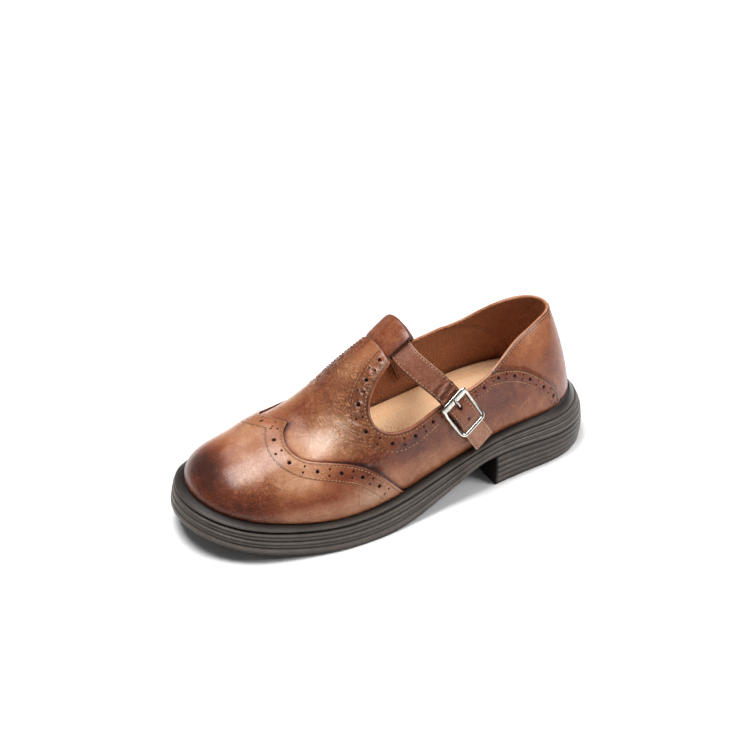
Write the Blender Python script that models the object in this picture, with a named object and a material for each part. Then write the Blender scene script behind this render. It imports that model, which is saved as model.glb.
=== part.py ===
"""Left T-bar shoe with a wing cap, a buckled strap and a ribbed sole, built on one last.

X runs from the heel to the toe, Y to the wearer's left, which is this shoe's outer side, and Z up.
Every leather piece lies on the last, a surface with two coordinates. "share" runs along the foot,
0 at the back of the heel and 1 at the tip of the toe. "around" runs across it, 0 on the ridge over
the instep, 1 on the outer edge where the upper meets the sole, and -1 on the inner edge.
"""

import math

import bmesh
import bpy
import numpy as np
from mathutils import Vector
from mathutils.geometry import delaunay_2d_cdt

# Driving sizes, in metres

LAST_LENGTH = 0.2455
HEEL_HALF_WIDTH = 0.0330
OUTER_BALL_WIDTH = 0.0485
INNER_BALL_WIDTH = 0.0395
BACK_HEIGHT = 0.0550
INSTEP_HEIGHT = 0.0750
TOE_HEIGHT = 0.0360
BACK_LEAN = 0.0130
HEEL_SEAT = 0.0320
BALL_SEAT = 0.0173
TOE_SPRING = 0.0117
SOLE_SPRING = 0.0140
ARCH_HEIGHT = 0.0203
HEEL_BACK_HEIGHT = 0.0170
HEEL_LENGTH = 0.0715
SOLE_REACH = 0.0080
TOE_REACH = 0.0016

WALL = 0.0022
UPPER_LIFT = 0.0002
BACK_PANEL_STEP = 0.0007
TOE_RECESS = 0.0009
CAP_THICKNESS = 0.0009
INSOLE_THICKNESS = 0.0025
CLEARANCE = 0.0003

STRAP_WIDTH = 0.0140
STRAP_THICKNESS = 0.0018
LOOP_WALL = 0.0016
LOOP_WIDTH = 0.0280
LOOP_LIFT = -0.0008
LOOP_TILT = 0.23
SLOT_PLAY = 0.0008
SLOT_SIDE_PLAY = 0.0011
FRAME_LENGTH = 0.0233
FRAME_WIDTH = 0.0176
WIRE_RADIUS = 0.0010
THICK_BAR_RADIUS = 0.0015
CENTRE_BAR_RADIUS = 0.0007
PRONG_RADIUS = 0.0006
ANCHOR_THICKNESS = 0.0008
ANCHOR_LENGTH = 0.0100
HOLE_WIDTH = 0.0024
HOLE_LENGTH = 0.0044
SPARE_HOLE = 0.0022

# How finely the last is divided

STATIONS = 42
ROWS = 11

# Half widths of the last along the foot. Each is a share of the heel's half width added to a share
# of the ball's: (share, heel outer, ball outer, heel inner, ball inner)
WIDTHS = (
    (0.00, 0.00, 0.00, 0.00, 0.00),
    (0.04, 0.69, 0.00, 0.68, 0.00),
    (0.10, 0.93, 0.00, 0.915, 0.00),
    (0.17, 1.00, 0.00, 0.995, 0.00),
    (0.25, 0.85, 0.14, 0.83, 0.14),
    (0.35, 0.50, 0.45, 0.45, 0.43),
    (0.45, 0.20, 0.72, 0.15, 0.71),
    (0.55, 0.05, 0.91, 0.00, 0.88),
    (0.62, 0.00, 0.99, 0.00, 0.93),
    (0.68, 0.00, 1.00, 0.00, 0.975),
    (0.74, 0.00, 0.975, 0.00, 0.99),
    (0.80, 0.00, 0.915, 0.00, 0.95),
    (0.86, 0.00, 0.83, 0.00, 0.92),
    (0.92, 0.00, 0.695, 0.00, 0.855),
    (0.97, 0.00, 0.465, 0.00, 0.61),
    (1.00, 0.00, 0.00, 0.00, 0.00),
)

# The ridge of the last: its height as shares of the back, instep and toe heights, its place
# towards the inner side as a share of the inner ball width, and how round the section is
# (share, back, instep, toe, inwards, side power, top power)
RIDGE = (
    (0.00, 1.10, 0.00, 0.00, 0.000, 1.00, 0.90),
    (0.04, 1.10, 0.00, 0.00, 0.000, 1.00, 0.90),
    (0.10, 1.10, 0.00, 0.00, 0.000, 1.00, 0.90),
    (0.17, 0.95, 0.12, 0.00, 0.000, 1.00, 0.91),
    (0.25, 0.70, 0.36, 0.00, 0.000, 1.00, 0.92),
    (0.35, 0.30, 0.73, 0.00, 0.000, 0.95, 0.95),
    (0.45, 0.00, 1.00, 0.00, 0.022, 0.90, 0.97),
    (0.55, 0.00, 0.89, 0.00, 0.066, 0.865, 0.99),
    (0.62, 0.00, 0.735, 0.00, 0.101, 0.865, 0.99),
    (0.68, 0.00, 0.46, 0.28, 0.114, 0.865, 0.99),
    (0.74, 0.00, 0.18, 0.67, 0.126, 0.88, 0.99),
    (0.80, 0.00, 0.00, 1.00, 0.135, 0.97, 1.03),
    (0.86, 0.00, 0.00, 0.835, 0.135, 1.05, 1.06),
    (0.92, 0.00, 0.00, 0.63, 0.110, 1.10, 1.067),
    (0.97, 0.00, 0.00, 0.365, 0.065, 1.10, 1.067),
    (1.00, 0.00, 0.00, 0.00, 0.000, 1.10, 1.067),
)

# Height of the edge where the upper meets the sole: (share, heel seat, ball seat, toe spring)
SEAT = (
    (-0.05, 1.03, 0.00, 0.00),
    (0.00, 1.02, 0.00, 0.00),
    (0.12, 1.00, 0.00, 0.00),
    (0.25, 0.965, 0.02, 0.00),
    (0.35, 0.80, 0.17, 0.00),
    (0.45, 0.50, 0.46, 0.00),
    (0.55, 0.20, 0.80, 0.00),
    (0.65, 0.02, 1.00, 0.00),
    (0.75, 0.00, 1.00, 0.07),
    (0.85, 0.00, 1.00, 0.30),
    (0.93, 0.00, 1.00, 0.62),
    (1.00, 0.00, 1.00, 1.00),
    (1.05, 0.00, 1.00, 1.25),
)

# Height of the outsole's underside: (share, heel back height, arch height, sole spring)
UNDERSIDE = (
    (-0.05, 1.00, 0.00, 0.00),
    (0.00, 1.00, 0.00, 0.00),
    (0.15, 0.50, 0.50, 0.00),
    (0.29, 0.00, 1.00, 0.00),
    (0.34, 0.00, 0.95, 0.00),
    (0.40, 0.00, 0.68, 0.00),
    (0.48, 0.00, 0.32, 0.00),
    (0.56, 0.00, 0.07, 0.00),
    (0.61, 0.00, 0.00, 0.00),
    (0.70, 0.00, 0.00, 0.00),
    (0.77, 0.00, 0.00, 0.10),
    (0.85, 0.00, 0.00, 0.31),
    (0.93, 0.00, 0.00, 0.62),
    (1.00, 0.00, 0.00, 1.00),
    (1.05, 0.00, 0.00, 1.25),
)

# The edge of the opening, from the back of the heel round the throat and up the T-bar
# (share, around on the outer side, around on the inner side)
OPENING = (
    (0.000, 0.318, 0.318),
    (0.070, 0.328, 0.290),
    (0.130, 0.378, 0.360),
    (0.180, 0.447, 0.490),
    (0.230, 0.552, 0.590),
    (0.280, 0.633, 0.628),
    (0.340, 0.672, 0.655),
    (0.430, 0.683, 0.680),
    (0.500, 0.688, 0.690),
    (0.555, 0.637, 0.645),
    (0.588, 0.550, 0.560),
    (0.602, 0.430, 0.440),
    (0.593, 0.330, 0.340),
    (0.565, 0.258, 0.265),
    (0.521, 0.212, 0.218),
)

# The back edge of the wing cap on the outer side, its point first: (around, share). The inner side
# mirrors it about the point's line, which lies a little outside the ridge
CAP_EDGE = (
    (0.050, 0.752),
    (0.100, 0.769),
    (0.175, 0.782),
    (0.280, 0.788),
    (0.390, 0.774),
    (0.460, 0.737),
    (0.525, 0.703),
    (0.655, 0.653),
    (0.820, 0.605),
    (0.900, 0.583),
    (1.000, 0.552),
)
CAP_SHIFT = 0.10

# The quarter's edge over the back panel, from the sole up to the collar: (share, around)
QUARTER_EDGE = (
    (0.070, 1.02),
    (0.078, 0.970),
    (0.090, 0.900),
    (0.123, 0.795),
    (0.168, 0.697),
    (0.207, 0.653),
    (0.246, 0.634),
    (0.300, 0.630),
)

# The side of the outsole, from the upper down to the ground: how far out, as a share of the sole's
# reach, and how far down, as a share of the sole's thickness there, at three places
# (front out, front down, waist out, waist down, back out, back down)
SIDE = (
    (0.05, 0.00, 0.05, 0.00, 0.05, 0.00),
    (0.66, 0.04, 0.52, 0.08, 0.34, 0.25),
    (0.71, 0.11, 0.57, 0.18, 0.48, 0.37),
    (0.53, 0.135, 0.46, 0.21, 0.42, 0.39),
    (0.53, 0.20, 0.46, 0.27, 0.42, 0.42),
    (0.79, 0.22, 0.68, 0.30, 0.66, 0.445),
    (0.82, 0.45, 0.72, 0.51, 0.76, 0.61),
    (0.72, 0.475, 0.65, 0.54, 0.68, 0.635),
    (0.90, 0.50, 0.82, 0.57, 0.86, 0.66),
    (0.92, 0.71, 0.85, 0.74, 0.92, 0.80),
    (0.82, 0.735, 0.77, 0.77, 0.84, 0.825),
    (0.98, 0.76, 0.93, 0.80, 0.98, 0.85),
    (1.00, 0.96, 0.96, 0.96, 1.02, 0.97),
    (0.95, 1.00, 0.92, 1.00, 0.97, 1.00),
)
FRONT_SHARE = 0.55
WAIST_SHARE = 0.29

# How far the sole reaches on the inner side, as a share of the outer side's reach: (share, reach)
INNER_REACH = ((0.00, 1.00), (0.72, 1.00), (0.86, 0.90), (0.95, 0.74), (0.975, 0.86), (1.00, 1.00))

# The side of the heel block, from the outsole down: (out, down)
HEEL_SIDE = (
    (0.97, 0.00),
    (1.03, 0.03),
    (1.06, 0.17),
    (0.97, 0.19),
    (1.07, 0.22),
    (1.09, 0.36),
    (1.00, 0.38),
    (1.09, 0.41),
    (1.08, 0.55),
    (0.99, 0.57),
    (1.06, 0.60),
    (1.03, 0.74),
    (0.95, 0.76),
    (1.01, 0.79),
    (0.97, 0.96),
    (0.92, 1.00),
)

# The strap from its hidden inner end, through the loop, to the buckle
# (share from the loop's middle, around, lift from the loop's middle, tilt as a share of the loop's)
STRAP_ROUTE = (
    (-0.110, -0.86, -0.0036, 0.0),
    (-0.090, -0.74, -0.0036, 0.0),
    (-0.070, -0.62, -0.0038, 0.0),
    (-0.033, -0.42, -0.0037, 0.5),
    (-0.005, -0.29, -0.0014, 1.0),
    (0.000, -0.21, 0.0000, 1.0),
    (0.000, -0.10, 0.0000, 1.0),
    (0.000, 0.00, 0.0000, 1.0),
    (0.000, 0.10, 0.0000, 1.0),
    (0.000, 0.21, 0.0000, 1.0),
    (-0.004, 0.285, 0.0012, 1.1),
    (-0.021, 0.41, 0.0032, 1.1),
)

# The buckle's place on the last, and the way its strap points, along the foot and around it
BUCKLE_SHARE = 0.380
BUCKLE_AROUND = 0.753
STRAP_TURN = (-0.102, 0.420)

# The strap under and over the buckle's bars: (along, lift), as shares of half the frame's length
# and of the strap's height over the centre bar
STRAP_AT_BUCKLE = (
    (-1.25, 0.46),
    (-1.00, 0.50),
    (-0.50, 0.83),
    (0.00, 1.00),
    (0.50, 0.80),
    (1.00, 0.44),
    (1.60, 0.42),
    (2.30, 0.42),
)
BAR_HEIGHT = 0.0027
HOLE_PLACE = -0.48
SPARE_HOLE_PLACE = 0.42

COLOURS = {
    "rubber": ((0.045, 0.037, 0.034), 0.45, 0.0),
    "leather": ((0.330, 0.125, 0.052), 0.42, 0.0),
    "cap_leather": ((0.270, 0.095, 0.040), 0.40, 0.0),
    "strap_leather": ((0.300, 0.130, 0.070), 0.45, 0.0),
    "lining": ((0.640, 0.360, 0.170), 0.70, 0.0),
    "steel": ((0.780, 0.770, 0.740), 0.22, 1.0),
}


# The scene


def clear_scene():
    for obj in list(bpy.data.objects):
        bpy.data.objects.remove(obj, do_unlink=True)


def collection(name):
    group = bpy.data.collections.new(name)
    bpy.context.scene.collection.children.link(group)
    return group


def material(name):
    colour, roughness, metallic = COLOURS[name]
    made = bpy.data.materials.new(name)
    made.use_nodes = True
    shader = made.node_tree.nodes["Principled BSDF"]
    shader.inputs["Base Color"].default_value = (*colour, 1.0)
    shader.inputs["Roughness"].default_value = roughness
    shader.inputs["Metallic"].default_value = metallic
    return made


# Curves through the rows of a table


def spline(knots, values):
    """A natural cubic spline through the values, as a function of one number or an array."""
    knots = np.asarray(knots, float)
    values = np.asarray(values, float)
    flat = values.reshape(len(knots), -1)
    steps = np.diff(knots)
    count = len(knots)
    matrix = np.eye(count)
    right = np.zeros(flat.shape)
    for i in range(1, count - 1):
        matrix[i, i - 1 : i + 2] = steps[i - 1], 2 * (steps[i - 1] + steps[i]), steps[i]
        rise = (flat[i + 1] - flat[i]) / steps[i] - (flat[i] - flat[i - 1]) / steps[i - 1]
        right[i] = 6 * rise
    bend = np.linalg.solve(matrix, right)

    def at(place):
        place = np.clip(np.asarray(place, float), knots[0], knots[-1])
        i = np.clip(np.searchsorted(knots, place) - 1, 0, count - 2)
        step = steps[i][..., None]
        ahead = (knots[i + 1] - place)[..., None]
        behind = (place - knots[i])[..., None]
        curve = (bend[i] * ahead**3 + bend[i + 1] * behind**3) / (6 * step)
        curve += (flat[i] / step - bend[i] * step / 6) * ahead
        curve += (flat[i + 1] / step - bend[i + 1] * step / 6) * behind
        return curve.reshape(place.shape + values.shape[1:])

    return at


def by_length(points, scale):
    """Knots for a curve through points: the distance run so far, with each column scaled first."""
    runs = np.linalg.norm(np.diff(np.asarray(points) * scale, axis=0), axis=1)
    return np.concatenate([[0.0], np.cumsum(runs)])


def turn(share):
    """The angle whose shadow runs along the foot, so that equal turns crowd round both ends."""
    return np.arccos(1 - 2 * np.clip(share, 0, 1))


def share_at(angle):
    return (1 - np.cos(angle)) / 2


# The last

widths = np.array(WIDTHS)
ridge = np.array(RIDGE)
seat_rows = np.array(SEAT)
under_rows = np.array(UNDERSIDE)

outer_width = spline(turn(widths[:, 0]), widths[:, 1:3] @ [HEEL_HALF_WIDTH, OUTER_BALL_WIDTH])
inner_width = spline(turn(widths[:, 0]), widths[:, 3:5] @ [HEEL_HALF_WIDTH, INNER_BALL_WIDTH])
ridge_height = spline(turn(ridge[:, 0]), ridge[:, 1:4] @ [BACK_HEIGHT, INSTEP_HEIGHT, TOE_HEIGHT])
ridge_place = spline(turn(ridge[:, 0]), -ridge[:, 4] * INNER_BALL_WIDTH)
side_power = spline(turn(ridge[:, 0]), ridge[:, 5])
top_power = spline(turn(ridge[:, 0]), ridge[:, 6])
seat = spline(seat_rows[:, 0], seat_rows[:, 1:] @ [HEEL_SEAT, BALL_SEAT, TOE_SPRING])
underside_curve = spline(under_rows[:, 0], under_rows[:, 1:] @ [HEEL_BACK_HEIGHT, ARCH_HEIGHT, SOLE_SPRING])

LEAN_SHARE = 0.30
LEAN_POWER = 1.35
STEP = 1e-4


def underside(share):
    return np.clip(underside_curve(share), 0, None)


def last(share, around):
    """Points of the last: a rounded arch over each cross line, leaning forward at the heel."""
    angle = turn(share)
    climb = (1 - np.abs(around)) * math.pi / 2
    spread = np.clip(np.cos(climb), 0, 1) ** side_power(angle)
    rise = np.clip(np.sin(climb), 0, 1) ** top_power(angle)
    middle = ridge_place(angle)
    outer = middle + (outer_width(angle) - middle) * spread
    inner = middle - (inner_width(angle) + middle) * spread
    height = ridge_height(angle) * rise
    lean = BACK_LEAN * (height / BACK_HEIGHT) ** LEAN_POWER
    lean = lean * np.clip(1 - share / LEAN_SHARE, 0, 1) ** 2
    x = LAST_LENGTH * share + lean
    return np.stack([x, np.where(around >= 0, outer, inner), seat(share) + height], axis=-1)


def last_normal(share, around):
    share = np.clip(share, 2 * STEP, 1 - 2 * STEP)
    around = np.clip(around, 2 * STEP - 1, 1 - 2 * STEP)
    along = last(share + STEP, around) - last(share - STEP, around)
    across = last(share, around + STEP) - last(share, around - STEP)
    normal = np.cross(along, across)
    return normal / np.linalg.norm(normal, axis=-1, keepdims=True)


def skin(share, around, lift=0.0):
    """Points that lie `lift` outside the last. The back seam and the toe's tip stay on Y = 0."""
    share, around, lift = np.broadcast_arrays(
        np.asarray(share, float), np.asarray(around, float), np.asarray(lift, float)
    )
    normal = last_normal(share, around)
    ends = (share <= 0) | (share >= 1)
    normal[ends, 1] = 0
    normal /= np.linalg.norm(normal, axis=-1, keepdims=True)
    return last(share, around) + normal * lift[..., None]


# Outlines of the sole


def sole_ring(out, first=0.0, final=1.0, count=STATIONS):
    """Points and shares round the last's edge, pushed out sideways, outer side first, then inner."""
    angles = np.linspace(turn(first), turn(final), count)
    share = share_at(angles)
    edge = np.stack([LAST_LENGTH * share, outer_width(angles)], axis=-1)
    other = np.stack([LAST_LENGTH * share, -inner_width(angles)], axis=-1)

    def pushed(line, side):
        way = np.gradient(line, axis=0)
        normal = np.stack([-way[:, 1], way[:, 0]], axis=-1) * side
        normal /= np.linalg.norm(normal, axis=1, keepdims=True)
        if first <= 0:
            normal[0] = (-1, 0)
        if final >= 1:
            normal[-1] = (1, 0)
        reach = out(share) if callable(out) else np.full(count, float(out))
        if side < 0 and callable(out):
            reach = reach * np.interp(share, *np.transpose(INNER_REACH))
        return line + normal * reach[:, None]

    return pushed(edge, 1), pushed(other, -1), share


def side_row(row, share):
    """How far out and down one row of the outsole's side lies, at each share along the foot."""
    places = (0.0, WAIST_SHARE, FRONT_SHARE, 1.0)
    front_out, front_down, waist_out, waist_down, back_out, back_down = row
    out = np.interp(share, places, (back_out, waist_out, front_out, front_out)) * SOLE_REACH
    toe = np.clip((share - FRONT_SHARE) / (1 - FRONT_SHARE), 0, 1) ** 2
    out = out + TOE_REACH * toe * front_out
    return out, np.interp(share, places, (back_down, waist_down, front_down, front_down))


# Building meshes


def mesh_object(name, points, faces, look, group, parent):
    data = bpy.data.meshes.new(name)
    data.from_pydata(np.asarray(points).tolist(), [], [list(map(int, face)) for face in faces])
    obj = bpy.data.objects.new(name, data)
    group.objects.link(obj)
    obj.parent = parent
    data.materials.append(look)
    shape = bmesh.new()
    shape.from_mesh(data)
    bmesh.ops.dissolve_degenerate(shape, dist=1e-6, edges=shape.edges)
    bmesh.ops.recalc_face_normals(shape, faces=shape.faces)
    shape.to_mesh(data)
    shape.free()
    return obj


def strip(first, second):
    """Triangles between two rows of point numbers of equal length."""
    faces = []
    for i in range(len(first) - 1):
        corners = (first[i], first[i + 1], second[i + 1], second[i])
        for face in ((corners[0], corners[1], corners[2]), (corners[0], corners[2], corners[3])):
            if len(set(face)) == 3:
                faces.append(face)
    return faces


def ring_solid(rings, round_ends):
    """A solid from rings of (outer points, inner points) that lie one under the other.

    With round_ends the two sides meet in one point at each end. Otherwise the far end is flat.
    """
    points = []
    rows = []
    for outer, inner in rings:
        start = len(points)
        points.extend(outer)
        left = list(range(start, start + len(outer)))
        if round_ends:
            points.extend(inner[1:-1])
            middle = list(range(start + len(outer), start + len(outer) + len(inner) - 2))
            right = [left[0], *middle, left[-1]]
        else:
            points.extend(inner[1:])
            right = [left[0], *range(start + len(outer), start + len(outer) + len(inner) - 1)]
        rows.append((left, right))
    faces = strip(rows[0][0], rows[0][1]) + strip(rows[-1][1], rows[-1][0])
    for upper, lower in zip(rows, rows[1:]):
        faces += strip(lower[0], upper[0]) + strip(upper[1], lower[1])
    if not round_ends:
        ends = [(row[0][-1], row[1][-1]) for row in rows]
        faces += strip([end[1] for end in ends], [end[0] for end in ends])
    return points, faces


def inside(points, outline):
    """Whether each point lies inside a closed outline: it crosses the outline an odd number of times."""
    x, y = points[:, None, 0], points[:, None, 1]
    start = outline[None]
    end = np.roll(outline, -1, axis=0)[None]
    straddles = (start[..., 1] > y) != (end[..., 1] > y)
    run = np.where(end[..., 1] == start[..., 1], 1.0, end[..., 1] - start[..., 1])
    crossing = start[..., 0] + (y - start[..., 1]) / run * (end[..., 0] - start[..., 0])
    return (straddles & (x < crossing)).sum(axis=1) % 2 == 1


def distance(points, line):
    """How far each point lies from a line of points."""
    start = line[None, :-1]
    run = line[None, 1:] - start
    reach = points[:, None] - start
    along = (reach * run).sum(axis=-1) / np.maximum((run**2).sum(axis=-1), 1e-12)
    nearest = start + np.clip(along, 0, 1)[..., None] * run
    return np.linalg.norm(points[:, None] - nearest, axis=-1).min(axis=1)


# A pattern is drawn flat: along the foot by turn, across it by around

PATTERN_SCALE = (0.5, 0.25)

# Metres round the instep for one unit of around
AROUND_RUN = 0.074


def flat(share, around):
    return np.stack([turn(share) * PATTERN_SCALE[0], np.asarray(around) * PATTERN_SCALE[1]], axis=-1)


def unflat(points):
    return share_at(points[:, 0] / PATTERN_SCALE[0]), points[:, 1] / PATTERN_SCALE[1]


def triangulated(outline, lines=()):
    """Triangles of a flat pattern: a grid of points inside it, joined to its outline and inner lines."""
    columns = np.linspace(0, math.pi, STATIONS) * PATTERN_SCALE[0]
    rows = np.linspace(-1, 1, 2 * ROWS + 1) * PATTERN_SCALE[1]
    grid = np.stack(np.meshgrid(columns, rows, indexing="ij"), axis=-1).reshape(-1, 2)
    near = 0.42 * (columns[1] - columns[0])
    closed = np.vstack([outline, outline[:1]])
    keep = inside(grid, outline) & (distance(grid, closed) > near)
    for line in lines:
        keep &= distance(grid, line) > near
    points = [outline, *lines, grid[keep]]
    count = len(outline)
    edges = [(i, (i + 1) % count) for i in range(count)]
    for line in lines:
        edges += [(count + i, count + i + 1) for i in range(len(line) - 1)]
        count += len(line)
    flat_points = [Vector(point) for point in np.vstack(points).tolist()]
    made = delaunay_2d_cdt(flat_points, edges, [], 0, 1e-7)
    verts = np.array([tuple(point) for point in made[0]])
    faces = np.array([face for face in made[2] if len(face) == 3])
    corners = verts[faces]
    area = np.cross(corners[:, 1] - corners[:, 0], corners[:, 2] - corners[:, 0])
    faces = np.where(area[:, None] < 0, faces[:, ::-1], faces)
    return verts, faces[inside(corners.mean(axis=1), outline)]


def joined_ends(verts):
    """For each flat point, the number of the point that stands for it on the last.

    The two sides of the back seam are one line on the last, and the toe's tip is one point.
    """
    share, around = unflat(verts)
    same = np.arange(len(verts))
    tips = np.flatnonzero(share >= 1 - 1e-9)
    if len(tips):
        same[tips] = tips[0]
    seam = np.flatnonzero(share <= 1e-9)
    for number in seam[around[seam] < 0]:
        partner = seam[np.argmin(np.abs(around[seam] + around[number]))]
        same[number] = partner
    return same


def leather(verts, faces, over, under):
    """A closed leather piece from a flat pattern: `over` and `under` give the lift of its two faces."""
    same = joined_ends(verts)
    faces = same[faces]
    whole = (faces[:, 0] != faces[:, 1]) & (faces[:, 1] != faces[:, 2]) & (faces[:, 0] != faces[:, 2])
    faces = faces[whole]
    share, around = unflat(verts)
    top = skin(share, around, over(verts))
    bottom = skin(share, around, under(verts))
    count = len(verts)
    sides = np.concatenate([faces[:, [0, 1]], faces[:, [1, 2]], faces[:, [2, 0]]])
    known = {tuple(side) for side in sides.tolist()}
    rim = [side for side in sides.tolist() if (side[1], side[0]) not in known]
    solid = [tuple(face) for face in faces.tolist()]
    solid += [(a + count, c + count, b + count) for a, b, c in faces.tolist()]
    for a, b in rim:
        solid += [(b, a, a + count), (b, a + count, b + count)]
    points = np.vstack([top, bottom])
    used = np.unique(np.array(solid))
    number = np.full(len(points), -1)
    number[used] = np.arange(len(used))
    return points[used], number[np.array(solid)]


# Outlines of the upper's patterns


def smooth_line(rows, count):
    """A smooth line through (share, around) rows."""
    rows = np.asarray(rows, float)
    knots = by_length(rows, (LAST_LENGTH, INSTEP_HEIGHT))
    line = spline(knots, rows)(np.linspace(0, knots[-1], count))
    line[:, 0] = np.clip(line[:, 0], 0, 1)
    return line


def feather(side, first=0.0, final=1.0):
    """The edge on the sole, one point for each station of the grid."""
    shares = share_at(np.linspace(0, math.pi, STATIONS))
    shares = shares[(shares > first + 1e-6) & (shares < final - 1e-6)]
    shares = np.concatenate([[first], shares, [final]])
    return np.stack([shares, np.full(len(shares), float(side))], axis=-1)


def opening_line(column, count=64):
    rows = np.array(OPENING)
    line = smooth_line(rows[:, [0, column]], count)
    line[0, 0] = 0
    return line


def upper_outline():
    outer = opening_line(1)
    inner = opening_line(2) * (1, -1)
    seam = np.linspace(1, outer[0, 1], ROWS)[1:-1]
    outer_seam = np.stack([np.zeros(len(seam)), seam], axis=-1)
    bar_end = np.linspace(inner[-1], outer[-1], 9)[1:-1]
    line = np.vstack([
        feather(1)[:-1],
        [(1.0, 1.0), (1.0, -1.0)],
        feather(-1)[::-1][1:],
        outer_seam * (1, -1),
        inner,
        bar_end,
        outer[::-1],
        outer_seam[::-1],
    ])
    return flat(line[:, 0], line[:, 1])


def quarter_edges():
    """The step between quarter and back panel on both sides, each as an upper and a lower line."""
    edge = smooth_line(QUARTER_EDGE, 26)
    line = flat(edge[:, 0], edge[:, 1])
    way = np.gradient(line, axis=0)
    normal = np.stack([-way[:, 1], way[:, 0]], axis=-1)
    normal /= np.linalg.norm(normal, axis=1, keepdims=True)
    return line, line + normal * STEP_WIDTH


STEP_WIDTH = 0.0045
CORNER = np.array([(0.0, 1.02), (0.0, 0.0), (0.300, 0.0)])


def back_panel_share(verts):
    """1 on the back panel, 0 on the quarter, and between them over the width of the step."""
    folded = np.stack([verts[:, 0], np.abs(verts[:, 1])], axis=-1)
    line = quarter_edges()[0]
    corner = flat(CORNER[:, 0], CORNER[:, 1])
    behind = inside(folded, np.vstack([line, corner[::-1]]))
    return np.where(behind, np.clip(distance(folded, line) / STEP_WIDTH, 0, 1), 0)


# The pieces


def cap_line():
    """The wing cap's back edge, from the inner side's sole edge over the ridge to the outer side's."""
    half = smooth_line(np.array(CAP_EDGE)[:, ::-1], 22)
    stations = share_at(np.linspace(0, math.pi, STATIONS))
    half[-1] = stations[np.argmin(np.abs(stations - half[-1, 0]))], 1
    other = half[:0:-1].copy()
    other[:, 1] = CAP_SHIFT * (1 - other[:, 1]) ** 2 - other[:, 1]
    return np.vstack([other, half])


def upper_lift(verts):
    """The upper's outer face: a step down to the back panel, and lower under the toe cap."""
    share = unflat(verts)[0]
    toe = np.clip((share - 0.78) / 0.08, 0, 1)
    return UPPER_LIFT - BACK_PANEL_STEP * back_panel_share(verts) - TOE_RECESS * toe


def upper_pattern():
    """Triangles of the whole upper, laid so that the steps and the cap's edge run along them."""
    outline = upper_outline()
    edge = cap_line()
    lines = [flat(edge[:, 0], edge[:, 1])]
    for line in quarter_edges():
        for side in (1, -1):
            drawn = line * (1, side)
            closed = np.vstack([outline, outline[:1]])
            keep = inside(drawn, outline) & (distance(drawn, closed) > 0.004)
            lines.append(drawn[keep])
    return triangulated(outline, lines)


def make_upper(pattern, look, group, parent):
    verts, faces = pattern
    points, solid = leather(verts, faces, upper_lift, lambda verts: upper_lift(verts) - WALL)
    return mesh_object("upper", points, solid, look, group, parent)


def make_toe_cap(pattern, look, group, parent):
    """The part of the upper's own pattern in front of the cap's edge, lifted clear of the upper."""
    verts, faces = pattern
    edge = cap_line()
    area = np.vstack([edge, [(1.0, 1.1), (1.0, -1.1)]])
    front = inside(verts[faces].mean(axis=1), flat(area[:, 0], area[:, 1]))
    points, solid = leather(
        verts,
        faces[front],
        lambda verts: upper_lift(verts) + CLEARANCE + CAP_THICKNESS,
        lambda verts: upper_lift(verts) + CLEARANCE,
    )
    return mesh_object("toe_cap", points, solid, look, group, parent)


def make_outsole(look, group, parent):
    rings = []
    for row in SIDE:
        outer, inner, share = sole_ring(lambda share: side_row(row, share)[0])
        down = side_row(row, share)[1]
        top = seat(share) - CLEARANCE
        height = top + (underside(share) - top) * down
        rings.append((np.column_stack([outer, height]), np.column_stack([inner, height])))
    points, faces = ring_solid(rings, round_ends=True)
    return mesh_object("outsole", points, faces, look, group, parent)


def make_heel(look, group, parent):
    breast = HEEL_LENGTH / LAST_LENGTH
    rings = []
    for out, down in HEEL_SIDE:
        outer, inner, share = sole_ring(np.array(out * SOLE_REACH), 0.0, breast, STATIONS // 2)
        height = (underside(share) - CLEARANCE) * (1 - down)
        for line in (outer, inner):
            line[-1, 0] = HEEL_LENGTH
        rings.append((np.column_stack([outer, height]), np.column_stack([inner, height])))
    points, faces = ring_solid(rings, round_ends=False)
    return mesh_object("heel", points, faces, look, group, parent)


def make_insole(look, group, parent):
    inset = np.array(UPPER_LIFT - max(TOE_RECESS, BACK_PANEL_STEP) - WALL - 2 * CLEARANCE)
    rounding = 0.25 * INSOLE_THICKNESS
    rings = []
    for pull, height in ((0, 0), (0, 0.7), (1, 1)):
        outer, inner, share = sole_ring(inset - pull * rounding)
        level = seat(share) + height * INSOLE_THICKNESS
        rings.append((np.column_stack([outer, level]), np.column_stack([inner, level])))
    points, faces = ring_solid(rings[::-1], round_ends=True)
    return mesh_object("insole", points, faces, look, group, parent)


def buckle_frame_axes():
    """The middle of the buckle on the last, the strap's way, the buckle's width way and out."""
    place = skin(BUCKLE_SHARE, BUCKLE_AROUND)
    out = last_normal(np.array(BUCKLE_SHARE), np.array(BUCKLE_AROUND))
    reach = np.array(STRAP_TURN) * 0.1
    ahead = skin(BUCKLE_SHARE + reach[0], BUCKLE_AROUND + reach[1])
    along = ahead - place
    along -= out * (along @ out)
    along /= np.linalg.norm(along)
    return place, along, np.cross(out, along), out


def strap_height():
    """How high the strap's middle passes over the buckle's centre bar."""
    curl = CENTRE_BAR_RADIUS + 2 * CLEARANCE + 2 * PRONG_RADIUS
    return BAR_HEIGHT + curl + STRAP_THICKNESS / 2


def tilted(share, around, tilt):
    """The way towards the heel and the outward way on the last, turned so that the heel side rises."""
    normal = last_normal(np.array(share), np.array(around))
    back = skin(share - STEP, around) - skin(share + STEP, around)
    back -= normal * (back @ normal)
    back /= np.linalg.norm(back)
    return (
        back * math.cos(tilt) + normal * math.sin(tilt),
        normal * math.cos(tilt) - back * math.sin(tilt),
    )


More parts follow.
